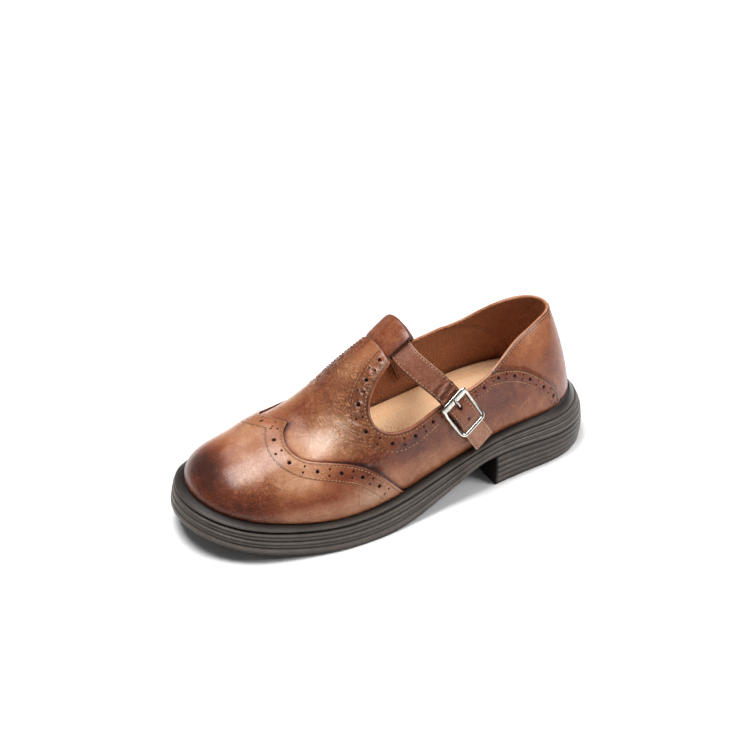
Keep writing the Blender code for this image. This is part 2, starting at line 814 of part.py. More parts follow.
def strap_line(count=46):
    """Middle points of the strap, its width's way and its outward way at each."""
    place, along, across, out = buckle_frame_axes()
    points = []
    ways = []
    for share, around, lift, tilt in np.array(STRAP_ROUTE) + (loop_share(), 0, LOOP_LIFT, 0):
        points.append(skin(share, around, lift))
        ways.append(tilted(share, around, tilt * LOOP_TILT)[1])
    for run, lift in STRAP_AT_BUCKLE:
        points.append(place + along * run * FRAME_LENGTH / 2 + out * lift * strap_height())
        ways.append(out)
    points = np.array(points)
    knots = by_length(points, (1, 1, 1))
    middle = spline(knots, points)
    steps = np.linspace(0, knots[-1], count)
    centre = middle(steps)
    forward = np.gradient(centre, axis=0)
    forward /= np.linalg.norm(forward, axis=1, keepdims=True)
    outward = spline(knots, np.array(ways))(steps)
    side = np.cross(outward, forward)
    side /= np.linalg.norm(side, axis=1, keepdims=True)
    return centre, side, np.cross(forward, side)


def holes(obj, group, parent):
    """Cuts the prong's hole and one spare hole through the strap."""
    place, along, across, out = buckle_frame_axes()
    axes = np.column_stack([along, across, out])
    for name, run, length, width in (
        ("prong_hole", HOLE_PLACE, HOLE_LENGTH, HOLE_WIDTH),
        ("spare_hole", SPARE_HOLE_PLACE, SPARE_HOLE, SPARE_HOLE),
    ):
        bpy.ops.mesh.primitive_cylinder_add(vertices=16, radius=0.5, depth=1.0)
        cutter = bpy.context.object
        cutter.name = name + "_cutter"
        for owner in list(cutter.users_collection):
            owner.objects.unlink(cutter)
        group.objects.link(cutter)
        centre = place + along * run * FRAME_LENGTH / 2 + out * strap_height() * 0.85
        shape = np.array([vertex.co for vertex in cutter.data.vertices])
        shape = (shape * (length, width, 4 * STRAP_THICKNESS)) @ axes.T + centre
        cutter.data.vertices.foreach_set("co", shape.ravel())
        cutter.data.update()
        cutter.parent = parent
        cutter.hide_render = True
        cutter.display_type = "WIRE"
        cut = obj.modifiers.new(name, "BOOLEAN")
        cut.operation = "DIFFERENCE"
        cut.solver = "EXACT"
        cut.object = cutter


def make_strap(look, group, cutters, parent):
    centre, side, outward = strap_line()
    half = STRAP_WIDTH / 2
    thick = STRAP_THICKNESS / 2
    corner = 0.5 * thick
    section = (
        (half, 0.5 * thick),
        (half - corner, thick),
        (0, thick),
        (corner - half, thick),
        (-half, 0.5 * thick),
        (-half, -0.5 * thick),
        (corner - half, -thick),
        (0, -thick),
        (half - corner, -thick),
        (half, -0.5 * thick),
    )
    points, faces = swept(centre, side, outward, [section] * len(centre))
    strap = mesh_object("strap", points, faces, look, group, parent)
    holes(strap, cutters, parent)
    return strap


def swept(centre, side, outward, sections, closed=False):
    """A section carried along a line. Its ends are capped, or it closes on itself."""
    size = len(sections[0])
    points = []
    for middle, across, out, section in zip(centre, side, outward, sections):
        points.extend(middle + across * a + out * b for a, b in section)
    rings = [[*range(i * size, (i + 1) * size), i * size] for i in range(len(centre))]
    pairs = list(zip(rings, rings[1:]))
    if closed:
        pairs.append((rings[-1], rings[0]))
    faces = [face for first, second in pairs for face in strip(first, second)]
    if not closed:
        faces.append(rings[0][:-1][::-1])
        faces.append(rings[-1][:-1])
    return points, faces


def oval(length, thick, count=20, power=0.55):
    """A closed oval with flattened sides, as (along, lift) pairs."""
    angles = np.linspace(0, 2 * math.pi, count, endpoint=False)
    along = np.sign(np.cos(angles)) * np.abs(np.cos(angles)) ** power * length / 2
    lift = np.sign(np.sin(angles)) * np.abs(np.sin(angles)) ** power * thick / 2
    return np.stack([along, lift], axis=-1)


def ridge_run(share):
    """Metres along the ridge for one unit of share."""
    ends = last(np.array([share - STEP, share + STEP]), np.zeros(2))
    return np.linalg.norm(ends[1] - ends[0]) / (2 * STEP)


def slot_size():
    return STRAP_WIDTH + 2 * SLOT_SIDE_PLAY, STRAP_THICKNESS + 2 * SLOT_PLAY


def loop_share():
    """The share of the loop's middle: it starts just behind the T-bar's end."""
    end = OPENING[-1][0]
    return end - (slot_size()[0] / 2 + LOOP_WALL + 3 * CLEARANCE) / ridge_run(end)


def make_strap_loop(look, group, parent):
    """The end of the T-bar folded round the strap: a flat tube that follows the ridge."""
    slot = slot_size()
    walls = (slot[0] + 2 * LOOP_WALL, slot[1] + 2 * LOOP_WALL)
    stations = np.linspace(-0.5, 0.5, 9) * LOOP_WIDTH
    points = []
    size = 18
    for across in stations:
        around = across / AROUND_RUN
        centre = skin(loop_share(), around, LOOP_LIFT)
        axes = tilted(loop_share(), around, LOOP_TILT)
        for length, thick in (walls, slot):
            shape = oval(length, thick, size)
            points.extend(centre + shape @ np.array(axes))
    rings = [[*range(i * size, (i + 1) * size), i * size] for i in range(2 * len(stations))]
    faces = []
    for i in range(len(stations) - 1):
        faces += strip(rings[2 * i], rings[2 * i + 2]) + strip(rings[2 * i + 3], rings[2 * i + 1])
    faces += strip(rings[1], rings[0]) + strip(rings[-2], rings[-1])
    return mesh_object("strap_loop", points, faces, look, group, parent)


def placed(rows):
    """Points given in the buckle's own axes: along the strap, across it and outwards."""
    place, along, across, out = buckle_frame_axes()
    return place + np.asarray(rows) @ np.stack([along, across, out])


def bar_lift(run):
    """Height of the frame's wire: it bows down to the centre bar between its two end bars."""
    top = 0.5 * strap_height() + STRAP_THICKNESS / 2 + 2 * CLEARANCE + WIRE_RADIUS
    low = BAR_HEIGHT + 0.6 * WIRE_RADIUS
    return low + (top - low) * np.abs(run) ** 2


def make_buckle_frame(look, group, cutters, parent):
    count = 32
    angles = np.linspace(0, 2 * math.pi, count, endpoint=False)
    run = np.sign(np.cos(angles)) * np.abs(np.cos(angles)) ** 0.22
    wide = np.sign(np.sin(angles)) * np.abs(np.sin(angles)) ** 0.22
    path = np.stack([run * FRAME_LENGTH / 2, wide * FRAME_WIDTH / 2, bar_lift(run)], axis=-1)
    way = np.roll(path, -1, axis=0) - np.roll(path, 1, axis=0)
    way /= np.linalg.norm(way, axis=1, keepdims=True)
    up = np.array([0.0, 0.0, 1.0])
    side = np.cross(up, way)
    side /= np.linalg.norm(side, axis=1, keepdims=True)
    lift = np.cross(way, side)
    sections = []
    for along in run:
        wide_radius = THICK_BAR_RADIUS if along < -0.93 else WIRE_RADIUS
        turns = np.arange(8) * math.pi / 4
        sections.append(np.stack([np.cos(turns) * wide_radius, np.sin(turns) * WIRE_RADIUS], axis=-1))
    points, faces = swept(path, side, lift, sections, closed=True)
    frame = mesh_object("buckle_frame", placed(points), faces, look, group, parent)
    bar = cylinder_between(
        "centre_bar", (0, -FRAME_WIDTH / 2, BAR_HEIGHT), (0, FRAME_WIDTH / 2, BAR_HEIGHT),
        CENTRE_BAR_RADIUS, look, cutters, parent,
    )
    join = frame.modifiers.new("centre_bar", "BOOLEAN")
    join.operation = "UNION"
    join.solver = "EXACT"
    join.object = bar
    return frame


def cylinder_between(name, start, end, radius, look, group, parent, sides=12):
    """A helper cylinder between two points of the buckle's own axes."""
    start, end = placed([start, end])
    centre = np.linspace(start, end, 2)
    place, along, across, out = buckle_frame_axes()
    turns = np.arange(sides) * 2 * math.pi / sides
    section = np.stack([np.cos(turns) * radius, np.sin(turns) * radius], axis=-1)
    points, faces = swept(centre, [along] * 2, [out] * 2, [section] * 2)
    obj = mesh_object(name, points, faces, look, group, parent)
    obj.hide_render = True
    obj.display_type = "WIRE"
    return obj


def make_prong(look, group, parent):
    """A wire that curls round the centre bar, comes up through the hole and lies on the end bar."""
    curl = CENTRE_BAR_RADIUS + CLEARANCE + PRONG_RADIUS
    turns = np.radians(np.linspace(150, -95, 9))
    ring = [(math.cos(a) * curl, 0.0, BAR_HEIGHT + math.sin(a) * curl) for a in turns]
    half = FRAME_LENGTH / 2
    rest = float(bar_lift(1.0)) + WIRE_RADIUS + CLEARANCE + PRONG_RADIUS
    over = strap_height() * 0.84
    # After the curl: (share of half the frame's length, height)
    rows = (
        (-0.28, BAR_HEIGHT - 0.55 * curl),
        (HOLE_PLACE + 0.03, over),
        (-0.70, rest),
        (-1.02, rest),
        (-1.10, rest - 0.4 * PRONG_RADIUS),
    )
    points = np.array(ring + [(run * half, 0.0, lift) for run, lift in rows])
    knots = by_length(points, (1, 1, 1))
    path = spline(knots, points)(np.linspace(0, knots[-1], 24))
    way = np.gradient(path, axis=0)
    way /= np.linalg.norm(way, axis=1, keepdims=True)
    side = np.tile((0.0, 1.0, 0.0), (len(path), 1))
    lift = np.cross(way, side)
    turns = np.arange(6) * math.pi / 3
    section = np.stack([np.cos(turns) * PRONG_RADIUS, np.sin(turns) * PRONG_RADIUS], axis=-1)
    points, faces = swept(path, side, lift, [section] * len(path))
    return mesh_object("buckle_prong", placed(points), faces, look, group, parent)


def make_anchor(look, group, cutters, parent):
    """A leather tab wrapped round the centre bar, with a gap in its middle for the prong."""
    bore = CENTRE_BAR_RADIUS + CLEARANCE
    wrap = bore + ANCHOR_THICKNESS
    base = CLEARANCE + UPPER_LIFT + 0.0002
    turns = np.radians(np.linspace(60, 262, 9))
    arc = np.stack([np.cos(turns) * wrap, BAR_HEIGHT + np.sin(turns) * wrap], axis=-1)
    tail = ((ANCHOR_LENGTH, base), (ANCHOR_LENGTH, base + ANCHOR_THICKNESS), (2.2 * wrap, base + 1.6 * ANCHOR_THICKNESS))
    outer = np.vstack([arc, [(wrap, base)], tail])
    inner = np.stack([
        np.cos(np.linspace(0, 2 * math.pi, 10, endpoint=False)) * bore,
        BAR_HEIGHT + np.sin(np.linspace(0, 2 * math.pi, 10, endpoint=False)) * bore,
    ], axis=-1)
    solid = extruded(outer, inner, STRAP_WIDTH - 4 * CLEARANCE)
    anchor = mesh_object("buckle_anchor", placed(solid[0]), solid[1], look, group, parent)
    slot = 2 * (PRONG_RADIUS + CLEARANCE)
    box = extruded(
        np.array([(-2 * wrap, -wrap), (1.6 * wrap, -wrap), (1.6 * wrap, 4 * wrap), (-2 * wrap, 4 * wrap)]),
        None, slot,
    )
    cutter = mesh_object("prong_gap_cutter", placed(box[0]), box[1], look, cutters, parent)
    cutter.hide_render = True
    cutter.display_type = "WIRE"
    cut = anchor.modifiers.new("prong_gap", "BOOLEAN")
    cut.operation = "DIFFERENCE"
    cut.solver = "EXACT"
    cut.object = cutter
    return anchor


def extruded(outer, inner, depth):
    """An outline in the plane of the strap's way and out, with an optional hole, made `depth` wide."""
    count = len(outer)
    loops = [outer] if inner is None else [outer, inner]
    edges = []
    for loop in loops:
        start = len(edges)
        edges += [(start + i, start + (i + 1) % len(loop)) for i in range(len(loop))]
    verts = np.vstack(loops)
    made = delaunay_2d_cdt([Vector(point) for point in verts.tolist()], edges, [], 0, 1e-9)
    faces = np.array([face for face in made[2] if len(face) == 3])
    middle = verts[faces].mean(axis=1)
    keep = inside(middle, outer)
    if inner is not None:
        keep &= ~inside(middle, inner)
    faces = faces[keep]
    total = len(verts)
    points = [(x, side * depth / 2, z) for side in (-1, 1) for x, z in verts]
    solid = [tuple(face) for face in faces] + [tuple(face[::-1] + total) for face in faces]
    for a, b in edges:
        solid += [(a, b, b + total), (a, b + total, a + total)]
    return points, solid


def main():
    clear_scene()
    group = collection("buckle_loafer")
    cutters = collection("cutters")
    looks = {name: material(name) for name in COLOURS}
    middle = bpy.data.objects.new("shoe", None)
    group.objects.link(middle)
    outsole = make_outsole(looks["rubber"], group, middle)
    heel = make_heel(looks["rubber"], group, middle)
    pattern = upper_pattern()
    make_upper(pattern, looks["leather"], group, middle)
    make_toe_cap(pattern, looks["cap_leather"], group, middle)
    make_insole(looks["lining"], group, middle)
    make_strap(looks["strap_leather"], group, cutters, middle)
    make_strap_loop(looks["strap_leather"], group, middle)
    make_buckle_frame(looks["steel"], group, cutters, middle)
    make_prong(looks["steel"], group, middle)
    make_anchor(looks["strap_leather"], group, cutters, middle)
    footprint = np.vstack([
        np.array([vertex.co for vertex in obj.data.vertices]) for obj in (outsole, heel)
    ])
    centre = (footprint.min(axis=0) + footprint.max(axis=0)) / 2
    middle.location = (-centre[0], -centre[1], 0)


main()
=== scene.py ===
# %% [markdown]
# # Dressing a T-bar shoe
#
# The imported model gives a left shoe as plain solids: a ribbed sole, a hollow upper, a wing cap, a strap
# and its buckle. This lesson lays finely divided leather, rubber and metal over them, in the same
# metres and the same axes: X towards the toe, Y to the outer side, Z up.

import math

import bmesh
import bpy
import numpy as np
from mathutils import Matrix, Vector
from mathutils.geometry import delaunay_2d_cdt


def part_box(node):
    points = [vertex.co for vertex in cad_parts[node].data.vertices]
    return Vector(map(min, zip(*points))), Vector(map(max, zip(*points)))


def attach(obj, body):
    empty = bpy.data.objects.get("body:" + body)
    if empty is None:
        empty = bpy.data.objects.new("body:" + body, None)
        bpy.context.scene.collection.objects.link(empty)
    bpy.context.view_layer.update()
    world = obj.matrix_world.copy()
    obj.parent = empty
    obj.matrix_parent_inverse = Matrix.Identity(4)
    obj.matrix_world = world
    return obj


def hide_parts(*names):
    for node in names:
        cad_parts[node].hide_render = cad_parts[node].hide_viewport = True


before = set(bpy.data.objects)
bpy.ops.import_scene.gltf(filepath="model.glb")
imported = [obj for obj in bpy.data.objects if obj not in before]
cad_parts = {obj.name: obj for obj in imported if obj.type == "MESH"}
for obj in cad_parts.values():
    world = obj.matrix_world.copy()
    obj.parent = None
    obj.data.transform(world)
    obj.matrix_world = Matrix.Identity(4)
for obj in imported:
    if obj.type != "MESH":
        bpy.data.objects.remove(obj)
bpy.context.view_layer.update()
MM = 0.001
print("solids:", sorted(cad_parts))

# %% [markdown]
# ## The camera
#
# The photograph was taken from the shoe's outer side and a little in front of it, from above. A long
# lens keeps the toe from swelling. The camera is placed by the direction in which it looks at a point
# inside the shoe, and a small shift puts that point where the photograph has it.

# %% Camera
SEEN_POINT = np.array([-0.0030, -0.0046, 0.0400])
SWING = math.radians(28.7)
CLIMB = math.radians(34.9)
CAMERA_DISTANCE = 1.2
PHOTO_WIDTH = 750
PIXELS_PER_METRE = 1714
SENSOR_MM = 36.0
POINT_RIGHT_PX = 11.9
POINT_DOWN_PX = 39.4

back = np.array([math.sin(SWING) * math.cos(CLIMB), math.cos(SWING) * math.cos(CLIMB), math.sin(CLIMB)])
right = np.array([-math.cos(SWING), math.sin(SWING), 0.0])
up = np.cross(back, right)
lens = bpy.data.cameras.new("photo_camera")
lens.sensor_width = SENSOR_MM
lens.lens = SENSOR_MM * PIXELS_PER_METRE * CAMERA_DISTANCE / PHOTO_WIDTH
lens.shift_x = -POINT_RIGHT_PX / PHOTO_WIDTH
lens.shift_y = POINT_DOWN_PX / PHOTO_WIDTH
camera = bpy.data.objects.new("photo_camera", lens)
bpy.context.scene.collection.objects.link(camera)
turned = np.eye(4)
turned[:3, :3] = np.column_stack([right, up, back])
turned[:3, 3] = SEEN_POINT + back * CAMERA_DISTANCE
camera.matrix_world = Matrix(turned.tolist())
bpy.context.scene.camera = camera
print("lens", round(lens.lens, 1), "mm")

# %% [markdown]
# ## Light and floor
#
# The photograph is a studio picture on white: soft light from all round, a large soft lamp above and behind,
# which draws the pale glints on the toe and the vamp, and a faint shadow under the toe. Painted highlights
# in the leather's tone widen those two glints.


# %% Light and floor
def lamp(name, place, size, power, aim=(0, 0, 0.04)):
    """A square area lamp at `place`, turned to look at `aim`."""
    data = bpy.data.lights.new(name, "AREA")
    data.size = size
    data.energy = power
    obj = bpy.data.objects.new(name, data)
    bpy.context.scene.collection.objects.link(obj)
    obj.location = place
    obj.rotation_euler = (Vector(place) - Vector(aim)).to_track_quat("Z", "Y").to_euler()
    return obj


LAMPS = (
    ("softbox_above", (0.27, -0.06, 1.15), 0.54, 12.5), ("softbox_behind", (-1.00, -0.16, 0.75), 0.35, 4.0),
    ("softbox_far", (-0.10, -1.15, 2.10), 1.20, 18.0), ("softbox_heel", (-0.80, 0.90, 1.15), 0.70, 13.0),
)
for name, place, size, power in LAMPS:
    lamp(name, place, size, power)

world = bpy.data.worlds.new("studio")
world.use_nodes = True
world.node_tree.nodes["Background"].inputs["Color"].default_value = (1.0, 1.0, 1.0, 1.0)
world.node_tree.nodes["Background"].inputs["Strength"].default_value = 0.16
bpy.context.scene.world = world
bpy.context.scene.view_settings.view_transform = "Standard"

FLOOR_SIZE = 6.0
corners = np.array([(-1, -1, 0), (1, -1, 0), (1, 1, 0), (-1, 1, 0)]) * FLOOR_SIZE / 2
floor_mesh = bpy.data.meshes.new("studio_floor")
floor_mesh.from_pydata(corners.tolist(), [], [(0, 1, 2, 3)])
floor = bpy.data.objects.new("studio_floor", floor_mesh)
bpy.context.scene.collection.objects.link(floor)

# %% [markdown]
# ## Materials: small helpers
#
# Every finish is a node tree. `node` places one node and fills its sockets with numbers, colours or
# links, so that a tree reads like a formula. Colours are written as the hex codes that a painter would
# pick, and turned to the linear light that the renderer counts in.


# %% Node helpers
def linear(code):
    """An sRGB hex colour as linear red, green, blue and alpha."""
    parts = np.array([int(code[i : i + 2], 16) for i in (0, 2, 4)]) / 255
    return (*np.where(parts <= 0.04045, parts / 12.92, ((parts + 0.055) / 1.055) ** 2.4).tolist(), 1.0)


def fill(tree, made, sockets):
    """Fills a node's inputs, by name or number, with values or with other nodes' outputs."""
    for key, value in sockets.items():
        if isinstance(value, bpy.types.NodeSocket):
            tree.links.new(value, made.inputs[key])
        else:
            made.inputs[key].default_value = value


def node(tree, kind, sockets, **settings):
    """A new node. Its settings come first, because some of them change its sockets."""
    made = tree.nodes.new(kind)
    for key, value in settings.items():
        setattr(made, key, value)
    fill(tree, made, sockets)
    return made


def math_node(tree, operation, first, second=0.0, clamp=False):
    sockets = {0: first, 1: second}
    return node(tree, "ShaderNodeMath", sockets, operation=operation, use_clamp=clamp).outputs[0]


def plus(tree, first, second, clamp=False):
    return math_node(tree, "ADD", first, second, clamp)


def minus(tree, first, second, clamp=False):
    return math_node(tree, "SUBTRACT", first, second, clamp)


def times(tree, first, second, clamp=False):
    return math_node(tree, "MULTIPLY", first, second, clamp)


def over(tree, first, second):
    return math_node(tree, "DIVIDE", first, second)


def excess(tree, value, middle, amount):
    """`amount` times what `value` is more than `middle`."""
    return times(tree, minus(tree, value, middle), amount)


def folded(tree, value, sharpness):
    """Noise folded at its middle, |2 noise - 1|, so that it draws sharp creases."""
    away = math_node(tree, "ABSOLUTE", minus(tree, times(tree, value, 2.0), 1.0))
    return times(tree, away, sharpness, clamp=True)


def noise(tree, **sockets):
    return node(tree, "ShaderNodeTexNoise", sockets).outputs["Fac"]


def coordinates(tree):
    return node(tree, "ShaderNodeTexCoord", {}).outputs["Object"]


def attribute(tree, name):
    return node(tree, "ShaderNodeAttribute", {}, attribute_name=name).outputs["Fac"]


def mixed(tree, factor, first, second):
    """A colour between `first` and `second`."""
    return node(tree, "ShaderNodeMix", {0: factor, 6: first, 7: second}, data_type="RGBA").outputs[2]


def clouded(tree, cloud, dark, pale):
    """A colour between two hex codes that follows a cloud."""
    return mixed(tree, plus(tree, 0.5, cloud, clamp=True), linear(dark), linear(pale))


def ramp(tree, value, stops):
    """A colour ramp through (place, hex colour) stops."""
    made = node(tree, "ShaderNodeValToRGB", {"Fac": value})
    while len(made.color_ramp.elements) < len(stops):
        made.color_ramp.elements.new(0.5)
    for element, (place, code) in zip(made.color_ramp.elements, stops):
        element.position = place
        element.color = linear(code)
    return made.outputs["Color"]


def bumped(tree, height, strength, distance):
    """The normal that a height gives."""
    sockets = {"Strength": strength, "Distance": distance, "Height": height}
    return node(tree, "ShaderNodeBump", sockets).outputs["Normal"]


def group(name, output, **inputs):
    """An empty node group with named numbers going in and one coming out, and its two end nodes."""
    tree = bpy.data.node_groups.new(name, "ShaderNodeTree")
    for label, default in inputs.items():
        socket = tree.interface.new_socket(label, in_out="INPUT", socket_type="NodeSocketFloat")
        socket.default_value = default
    tree.interface.new_socket(output, in_out="OUTPUT", socket_type="NodeSocketFloat")
    return tree, tree.nodes.new("NodeGroupInput"), tree.nodes.new("NodeGroupOutput")


def use(tree, made, **values):
    """What a node group gives, with its inputs filled by name."""
    return node(tree, "ShaderNodeGroup", values, node_tree=made).outputs[0]


def new_material(name):
    """A material with only a Principled shader and its output."""
    made = bpy.data.materials.new(name)
    made.use_nodes = True
    return made, made.node_tree, made.node_tree.nodes["Principled BSDF"]


# %% [markdown]
# ## Materials: the shared effects
#
# Leather is never one colour. Its grain is a net of tiny pebbles, its dye lies in clouds, it wrinkles
# and folds where the foot bends, and the maker rubs a darker polish into the edges. The five groups
# below give those as numbers: heights for the bump, a cloud, and a line at a set distance from an edge.


# %% Grain, clouds, lines and folds
def build_grain():
    """Pebbles: Voronoi cells of `Pebble` metres, with a finer noise on top."""
    tree, start, end = group("leather_grain", "Height", Pebble=0.001, Fine=0.35)
    place = coordinates(tree)
    scale = over(tree, 1.0, start.outputs["Pebble"])
    sockets = {"Vector": place, "Scale": scale, "Randomness": 0.9}
    cells = node(tree, "ShaderNodeTexVoronoi", sockets, feature="DISTANCE_TO_EDGE").outputs["Distance"]
    finer = noise(tree, Vector=place, Scale=times(tree, scale, 3.1), Detail=2.0)
    height = plus(tree, times(tree, cells, 2.2, clamp=True), times(tree, finer, start.outputs["Fine"]))
    tree.links.new(height, end.inputs[0])
    return tree


def build_clouds():
    """Clouds: soft noise of `Size` metres, about -1 to 1."""
    tree, start, end = group("dye_clouds", "Cloud", Size=0.03, Twist=1.0)
    sockets = {"Detail": 6.0, "Roughness": 0.68, "Distortion": start.outputs["Twist"]}
    soft = noise(tree, Vector=coordinates(tree), Scale=over(tree, 1.0, start.outputs["Size"]), **sockets)
    tree.links.new(excess(tree, soft, 0.5, 3.0), end.inputs[0])
    return tree


def build_line():
    """A line: 1 where `Far` is `At`, falling to 0 over `Width`."""
    tree, start, end = group("edge_line", "Line", Far=0.0, At=1.5, Width=0.4)
    away = math_node(tree, "ABSOLUTE", minus(tree, start.outputs["Far"], start.outputs["At"]))
    ratio = over(tree, away, start.outputs["Width"])
    tree.links.new(minus(tree, 1.0, ratio, clamp=True), end.inputs[0])
    return tree


def build_wrinkles():
    """Wrinkles: folded noise of `Size` metres."""
    tree, start, end = group("leather_wrinkles", "Height", Size=0.005)
    scale = over(tree, 1.0, start.outputs["Size"])
    net = noise(tree, Vector=coordinates(tree), Scale=scale, Detail=3.0, Roughness=0.55, Distortion=1.6)
    tree.links.new(folded(tree, net, 3.5), end.inputs[0])
    return tree


def build_folds():
    """Folds across an edge: folded noise, narrow along `Run` and long along `Far`, both in mm."""
    tree, start, end = group("edge_folds", "Height", Run=0.0, Far=0.0, Width=2.1)
    along = over(tree, start.outputs["Run"], start.outputs["Width"])
    away = over(tree, start.outputs["Far"], 9.0)
    place = node(tree, "ShaderNodeCombineXYZ", {"X": along, "Y": away}).outputs["Vector"]
    net = noise(tree, Vector=place, Scale=1.0, Detail=2.0, Roughness=0.6, Distortion=0.5)
    tree.links.new(folded(tree, net, 3.2), end.inputs[0])
    return tree


FOLDS = build_folds()
GRAIN = build_grain()
WRINKLES = build_wrinkles()
CLOUDS = build_clouds()
LINE = build_line()
print("node groups:", [tree.name for tree in bpy.data.node_groups])

# %% [markdown]
# ## Materials: leather
#
# The upper is tan leather with a brown polish worked into it. Its tone comes from the shoe itself: each
# vertex carries a `tone`, from dark to light, that is painted panel by panel further down, with painted
# highlights and painted shade among the polish. The clouds break it up. The grooves of wrinkles and folds
# are painted darker as shade, and the pits of the holes are painted dark as shade inside them. Cut edges and
# sewn lines are darker, and a thin clear coat gives the wax shine.

# %% Leather
# The palest stop is a greyed tan, for the painted highlights on the toe and the vamp.
TAN_STOPS = ((0.0, "3e1609"), (0.25, "76371c"), (0.5, "9e623f"), (0.75, "c29272"), (1.0, "e2c8b4"))
STRAP_STOPS = ((0.0, "3a180e"), (0.25, "6d3926"), (0.5, "94604a"), (0.75, "b58a70"), (1.0, "d6b7a0"))
SEAM_COLOUR = linear("2c1209")
# The pits of the holes are painted this near-black brown, as shade inside the holes.
PIT_SHADE_COLOUR = linear("1c0b06")
EDGE_LINE_MM = 1.5
BAND_MM = 10.0
STRAP_LINE_MM = 1.4
# (width in mm, how dark) of the line at a cut edge and of one under a row of stitches
CUT_LINE = (1.0, 0.85)
SEWN_LINE = (0.55, 0.40)
GROOVE_MM = 0.7


def leather_material(name, stops, pebble, bump, cloud_size, cloud_amount, sewn=(), rough=0.42, coat=0.6):
    """Tone, clouds, folds and grain give the colour, with the grooves of the folds painted darker as shade;
    pits, painted dark as shade in the holes, and the lines `sewn`, in mm, darken it.
    """
    made, tree, shader = new_material(name)
    far, pit = attribute(tree, "edge_far"), attribute(tree, "pit")
    big = use(tree, CLOUDS, Size=cloud_size, Twist=1.2)
    small = use(tree, CLOUDS, Size=cloud_size * 0.22, Twist=0.6)
    grain = use(tree, GRAIN, Pebble=pebble, Fine=0.4)
    fold = excess(tree, use(tree, WRINKLES, Size=0.0045), 0.7, attribute(tree, "wrinkle"))
    across = use(tree, FOLDS, Run=attribute(tree, "edge_run"), Far=far)
    fold = plus(tree, fold, times(tree, excess(tree, across, 0.8, attribute(tree, "fan")), 0.38))
    shade = plus(tree, attribute(tree, "tone"), times(tree, big, cloud_amount))
    shade = plus(tree, shade, times(tree, small, cloud_amount * 0.65))
    # The grooves of the wrinkles and folds are painted darker, as shade in the creases.
    shade = plus(tree, shade, times(tree, fold, 0.20))
    colour = ramp(tree, plus(tree, shade, excess(tree, grain, 0.75, 0.13), clamp=True), stops)
    height = plus(tree, times(tree, grain, 0.3), times(tree, fold, 4.5))
    for at in sewn:
        width, dark = SEWN_LINE if at else CUT_LINE
        line = times(tree, use(tree, LINE, Far=far, At=at, Width=width), dark)
        colour = mixed(tree, line, colour, SEAM_COLOUR)
        groove = use(tree, LINE, Far=far, At=at, Width=GROOVE_MM)
        height = minus(tree, height, times(tree, groove, 1.6))
    dull = plus(tree, times(tree, small, 0.06), times(tree, pit, 0.4))
    fill(tree, shader, {
        "Base Color": mixed(tree, times(tree, pit, 1.0, clamp=True), colour, PIT_SHADE_COLOUR),
        "Coat Weight": times(tree, minus(tree, 1.0, pit, clamp=True), coat),
        "Coat Roughness": 0.23,
        "Roughness": plus(tree, dull, rough, clamp=True),
        "Specular IOR Level": 0.15,
        "Normal": bumped(tree, height, bump, 0.0005),
    })
    return made


UPPER_LINES = (0.0, EDGE_LINE_MM, BAND_MM)
CAP_LINES = (EDGE_LINE_MM, BAND_MM)
UPPER_LEATHER = leather_material("upper_leather", TAN_STOPS, 0.0009, 0.9, 0.022, 0.17, UPPER_LINES)
CAP_LEATHER = leather_material("cap_leather", TAN_STOPS, 0.0009, 0.95, 0.024, 0.16, CAP_LINES)
STRAP_LEATHER = leather_material(
    "strap_leather", STRAP_STOPS, 0.0011, 0.6, 0.016, 0.14, (STRAP_LINE_MM,), 0.45, 0.3
)
LOOP_LEATHER = leather_material("loop_leather", TAN_STOPS, 0.0010, 0.6, 0.014, 0.14)
print("leathers:", [made.name for made in (UPPER_LEATHER, CAP_LEATHER, STRAP_LEATHER, LOOP_LEATHER)])

# %% [markdown]
# ## Materials: lining, sock, rubber, metal, thread
#
# The lining and the sock are undyed pigskin, with streaks that run along the foot. The rubber is a dark
# brown-grey whose rib edges are paler, partly from rubbing and partly as painted highlights, and whose welt
# holds a little dust. The buckle is polished nickel, and the thread is a waxed brown.


# %% Lining and sock
def skin_material(name, stops, streak, amount, rough):
    """Undyed leather: noise stretched along X for streaks, and small pores."""
    made, tree, shader = new_material(name)
    sockets = {"Vector": coordinates(tree), "Scale": (0.22, 1.0, 1.0)}
    stretched = node(tree, "ShaderNodeMapping", sockets).outputs[0]
    streaks = noise(tree, Vector=stretched, Scale=1 / streak, Detail=4.0, Distortion=0.8)
    cloud = use(tree, CLOUDS, Size=0.03, Twist=0.5)
    grain = use(tree, GRAIN, Pebble=0.0022, Fine=0.7)
    shade = plus(tree, attribute(tree, "tone"), times(tree, cloud, 0.10))
    shade = plus(tree, shade, excess(tree, grain, 0.95, 0.24))
    shade = plus(tree, shade, excess(tree, streaks, 0.5, amount), clamp=True)
    normal = bumped(tree, grain, 0.9, 0.0005)
    fill(tree, shader, {"Base Color": ramp(tree, shade, stops), "Roughness": rough, "Normal": normal})
    return made


LINING_STOPS = ((0.0, "3a1d12"), (0.3, "84492c"), (0.6, "a56b45"), (1.0, "d29f76"))
SOCK_STOPS = ((0.0, "c48e60"), (0.4, "edb080"), (0.7, "fbc796"), (1.0, "ffdab0"))
LINING = skin_material("lining_leather", LINING_STOPS, 0.0035, 0.12, 0.60)
SOCK = skin_material("sock_leather", SOCK_STOPS, 0.006, 0.7, 0.5)


